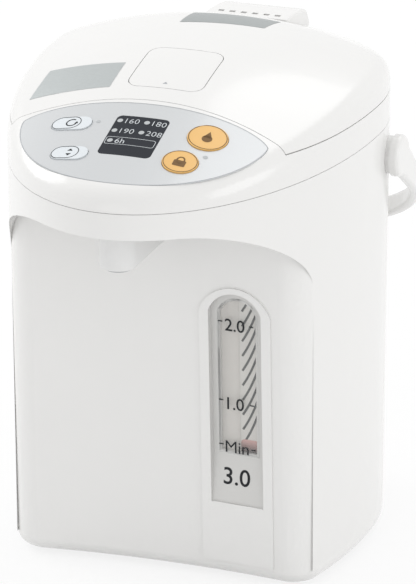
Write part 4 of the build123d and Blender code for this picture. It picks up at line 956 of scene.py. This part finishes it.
class POT_OT_stage(bpy.types.Operator):
    """Sets up the floor, the lights, the world and the camera"""

    bl_idname = "pot.stage"
    bl_label = "Stage"

    def execute(self, context):
        settings = context.scene.pot_stage
        none_selected()
        bpy.ops.mesh.primitive_plane_add(size=12, location=(0, 0, -0.0002))
        floor = settle(bpy.context.view_layer.objects.active)
        floor.name = "floor"
        paint = Paint("Studio Floor")
        rays = paint.node("ShaderNodeLightPath")
        glossy = Wire(paint, rays.socket.node.outputs["Is Glossy Ray"])
        seen = paint.node("ShaderNodeMath", {"operation": "MAXIMUM"}, [rays, glossy])
        matt = paint.node("ShaderNodeBsdfDiffuse", {}, {"Color": (0.84, 0.84, 0.84)})
        glow = paint.node("ShaderNodeEmission", {}, {"Color": (1.0, 1.0, 1.0), "Strength": 1.0})
        mixed = paint.node("ShaderNodeMixShader", {}, [seen * 0.84, matt, glow])
        paint.tree.links.new(mixed.socket, paint.output.inputs["Surface"])
        floor.data.materials.append(paint.material)

        world = bpy.data.worlds.new("Studio")
        context.scene.world = world
        world.use_nodes = True
        tree = world.node_tree
        back = tree.nodes["Background"]
        path = tree.nodes.new("ShaderNodeLightPath")
        seen_world = tree.nodes.new("ShaderNodeMath")
        seen_world.operation = "MAXIMUM"
        tree.links.new(path.outputs["Is Camera Ray"], seen_world.inputs[0])
        tree.links.new(path.outputs["Is Transmission Ray"], seen_world.inputs[1])
        blend = tree.nodes.new("ShaderNodeMapRange")
        tree.links.new(seen_world.outputs[0], blend.inputs["Value"])
        blend.inputs["To Min"].default_value = settings.room_level
        blend.inputs["To Max"].default_value = 1.0
        tree.links.new(blend.outputs["Result"], back.inputs["Strength"])
        back.inputs["Color"].default_value = (1.0, 1.0, 1.0, 1.0)

        lamps = (
            ("key", (-2.0, 0.5, 1.5), 1.6, settings.key_power),
            ("side", (2.4, -0.2, 0.7), 1.4, settings.side_power),
            ("top", (0.3, 1.3, 2.0), 1.4, settings.top_power),
            ("front", (-0.3, -2.6, 0.5), 1.6, settings.front_power),
        )
        middle = Vector((0, 0.02, 0.14))
        for name, place, size, watts in lamps:
            none_selected()
            bpy.ops.object.light_add(type="AREA", location=place)
            lamp = bpy.context.view_layer.objects.active
            lamp.name = name
            lamp.data.shape = "DISK"
            lamp.data.size = size
            lamp.data.energy = watts
            lamp.rotation_euler = (middle - Vector(place)).to_track_quat("-Z", "Y").to_euler()

        azimuth = settings.azimuth
        elevation = settings.elevation
        level = math.cos(elevation)
        back_way = Vector(
            (math.sin(azimuth) * level, -math.cos(azimuth) * level, math.sin(elevation))
        )
        right = Vector((math.cos(azimuth), math.sin(azimuth), 0))
        target = Vector((0, 0.036, 0.13206)) + right * -0.0044
        none_selected()
        bpy.ops.object.camera_add(location=target + back_way * settings.distance)
        camera = bpy.context.view_layer.objects.active
        camera.rotation_euler = (-back_way).to_track_quat("-Z", "Y").to_euler()
        camera.data.sensor_width = 36
        camera.data.lens = 297.18
        camera.data.clip_end = 20
        context.scene.camera = camera
        context.scene.view_settings.view_transform = "Standard"
        return {"FINISHED"}


class POT_PT_sidebar(bpy.types.Panel):
    """Lists the pot's sizes, colours and parts"""

    bl_label = "Thermo Pot"
    bl_idname = "POT_PT_sidebar"
    bl_space_type = "VIEW_3D"
    bl_region_type = "UI"
    bl_category = "Thermo Pot"

    def draw(self, context):
        layout = self.layout
        for group in ("pot_shell", "pot_panel", "pot_gauge", "pot_stage"):
            settings = getattr(context.scene, group)
            box = layout.box()
            for key in settings.__annotations__:
                box.prop(settings, key)
        for operator in OPERATORS:
            layout.operator(operator.bl_idname)


SETTINGS = (
    ("pot_shell", ShellSettings),
    ("pot_panel", PanelSettings),
    ("pot_gauge", GaugeSettings),
    ("pot_stage", StageSettings),
)
OPERATORS = (
    POT_OT_inner_parts,
    POT_OT_shells,
    POT_OT_film_edge,
    POT_OT_display_print,
    POT_OT_button_print,
    POT_OT_lid_marks,
    POT_OT_gauge,
    POT_OT_stage,
)
CLASSES = (*(group for _, group in SETTINGS), *OPERATORS, POT_PT_sidebar)


def register():
    for one in CLASSES:
        bpy.utils.register_class(one)
    for name, group in SETTINGS:
        setattr(bpy.types.Scene, name, PointerProperty(type=group))


def unregister():
    for name, _ in SETTINGS:
        delattr(bpy.types.Scene, name)
    for one in reversed(CLASSES):
        bpy.utils.unregister_class(one)


def main():
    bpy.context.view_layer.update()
    register()
    bpy.ops.pot.inner_parts()
    bpy.ops.pot.shells()
    bpy.ops.pot.film_edge()
    bpy.ops.pot.display_print()
    bpy.ops.pot.button_print()
    bpy.ops.pot.lid_marks()
    bpy.ops.pot.gauge()
    bpy.ops.pot.stage()


if __name__ == "__main__":
    main()
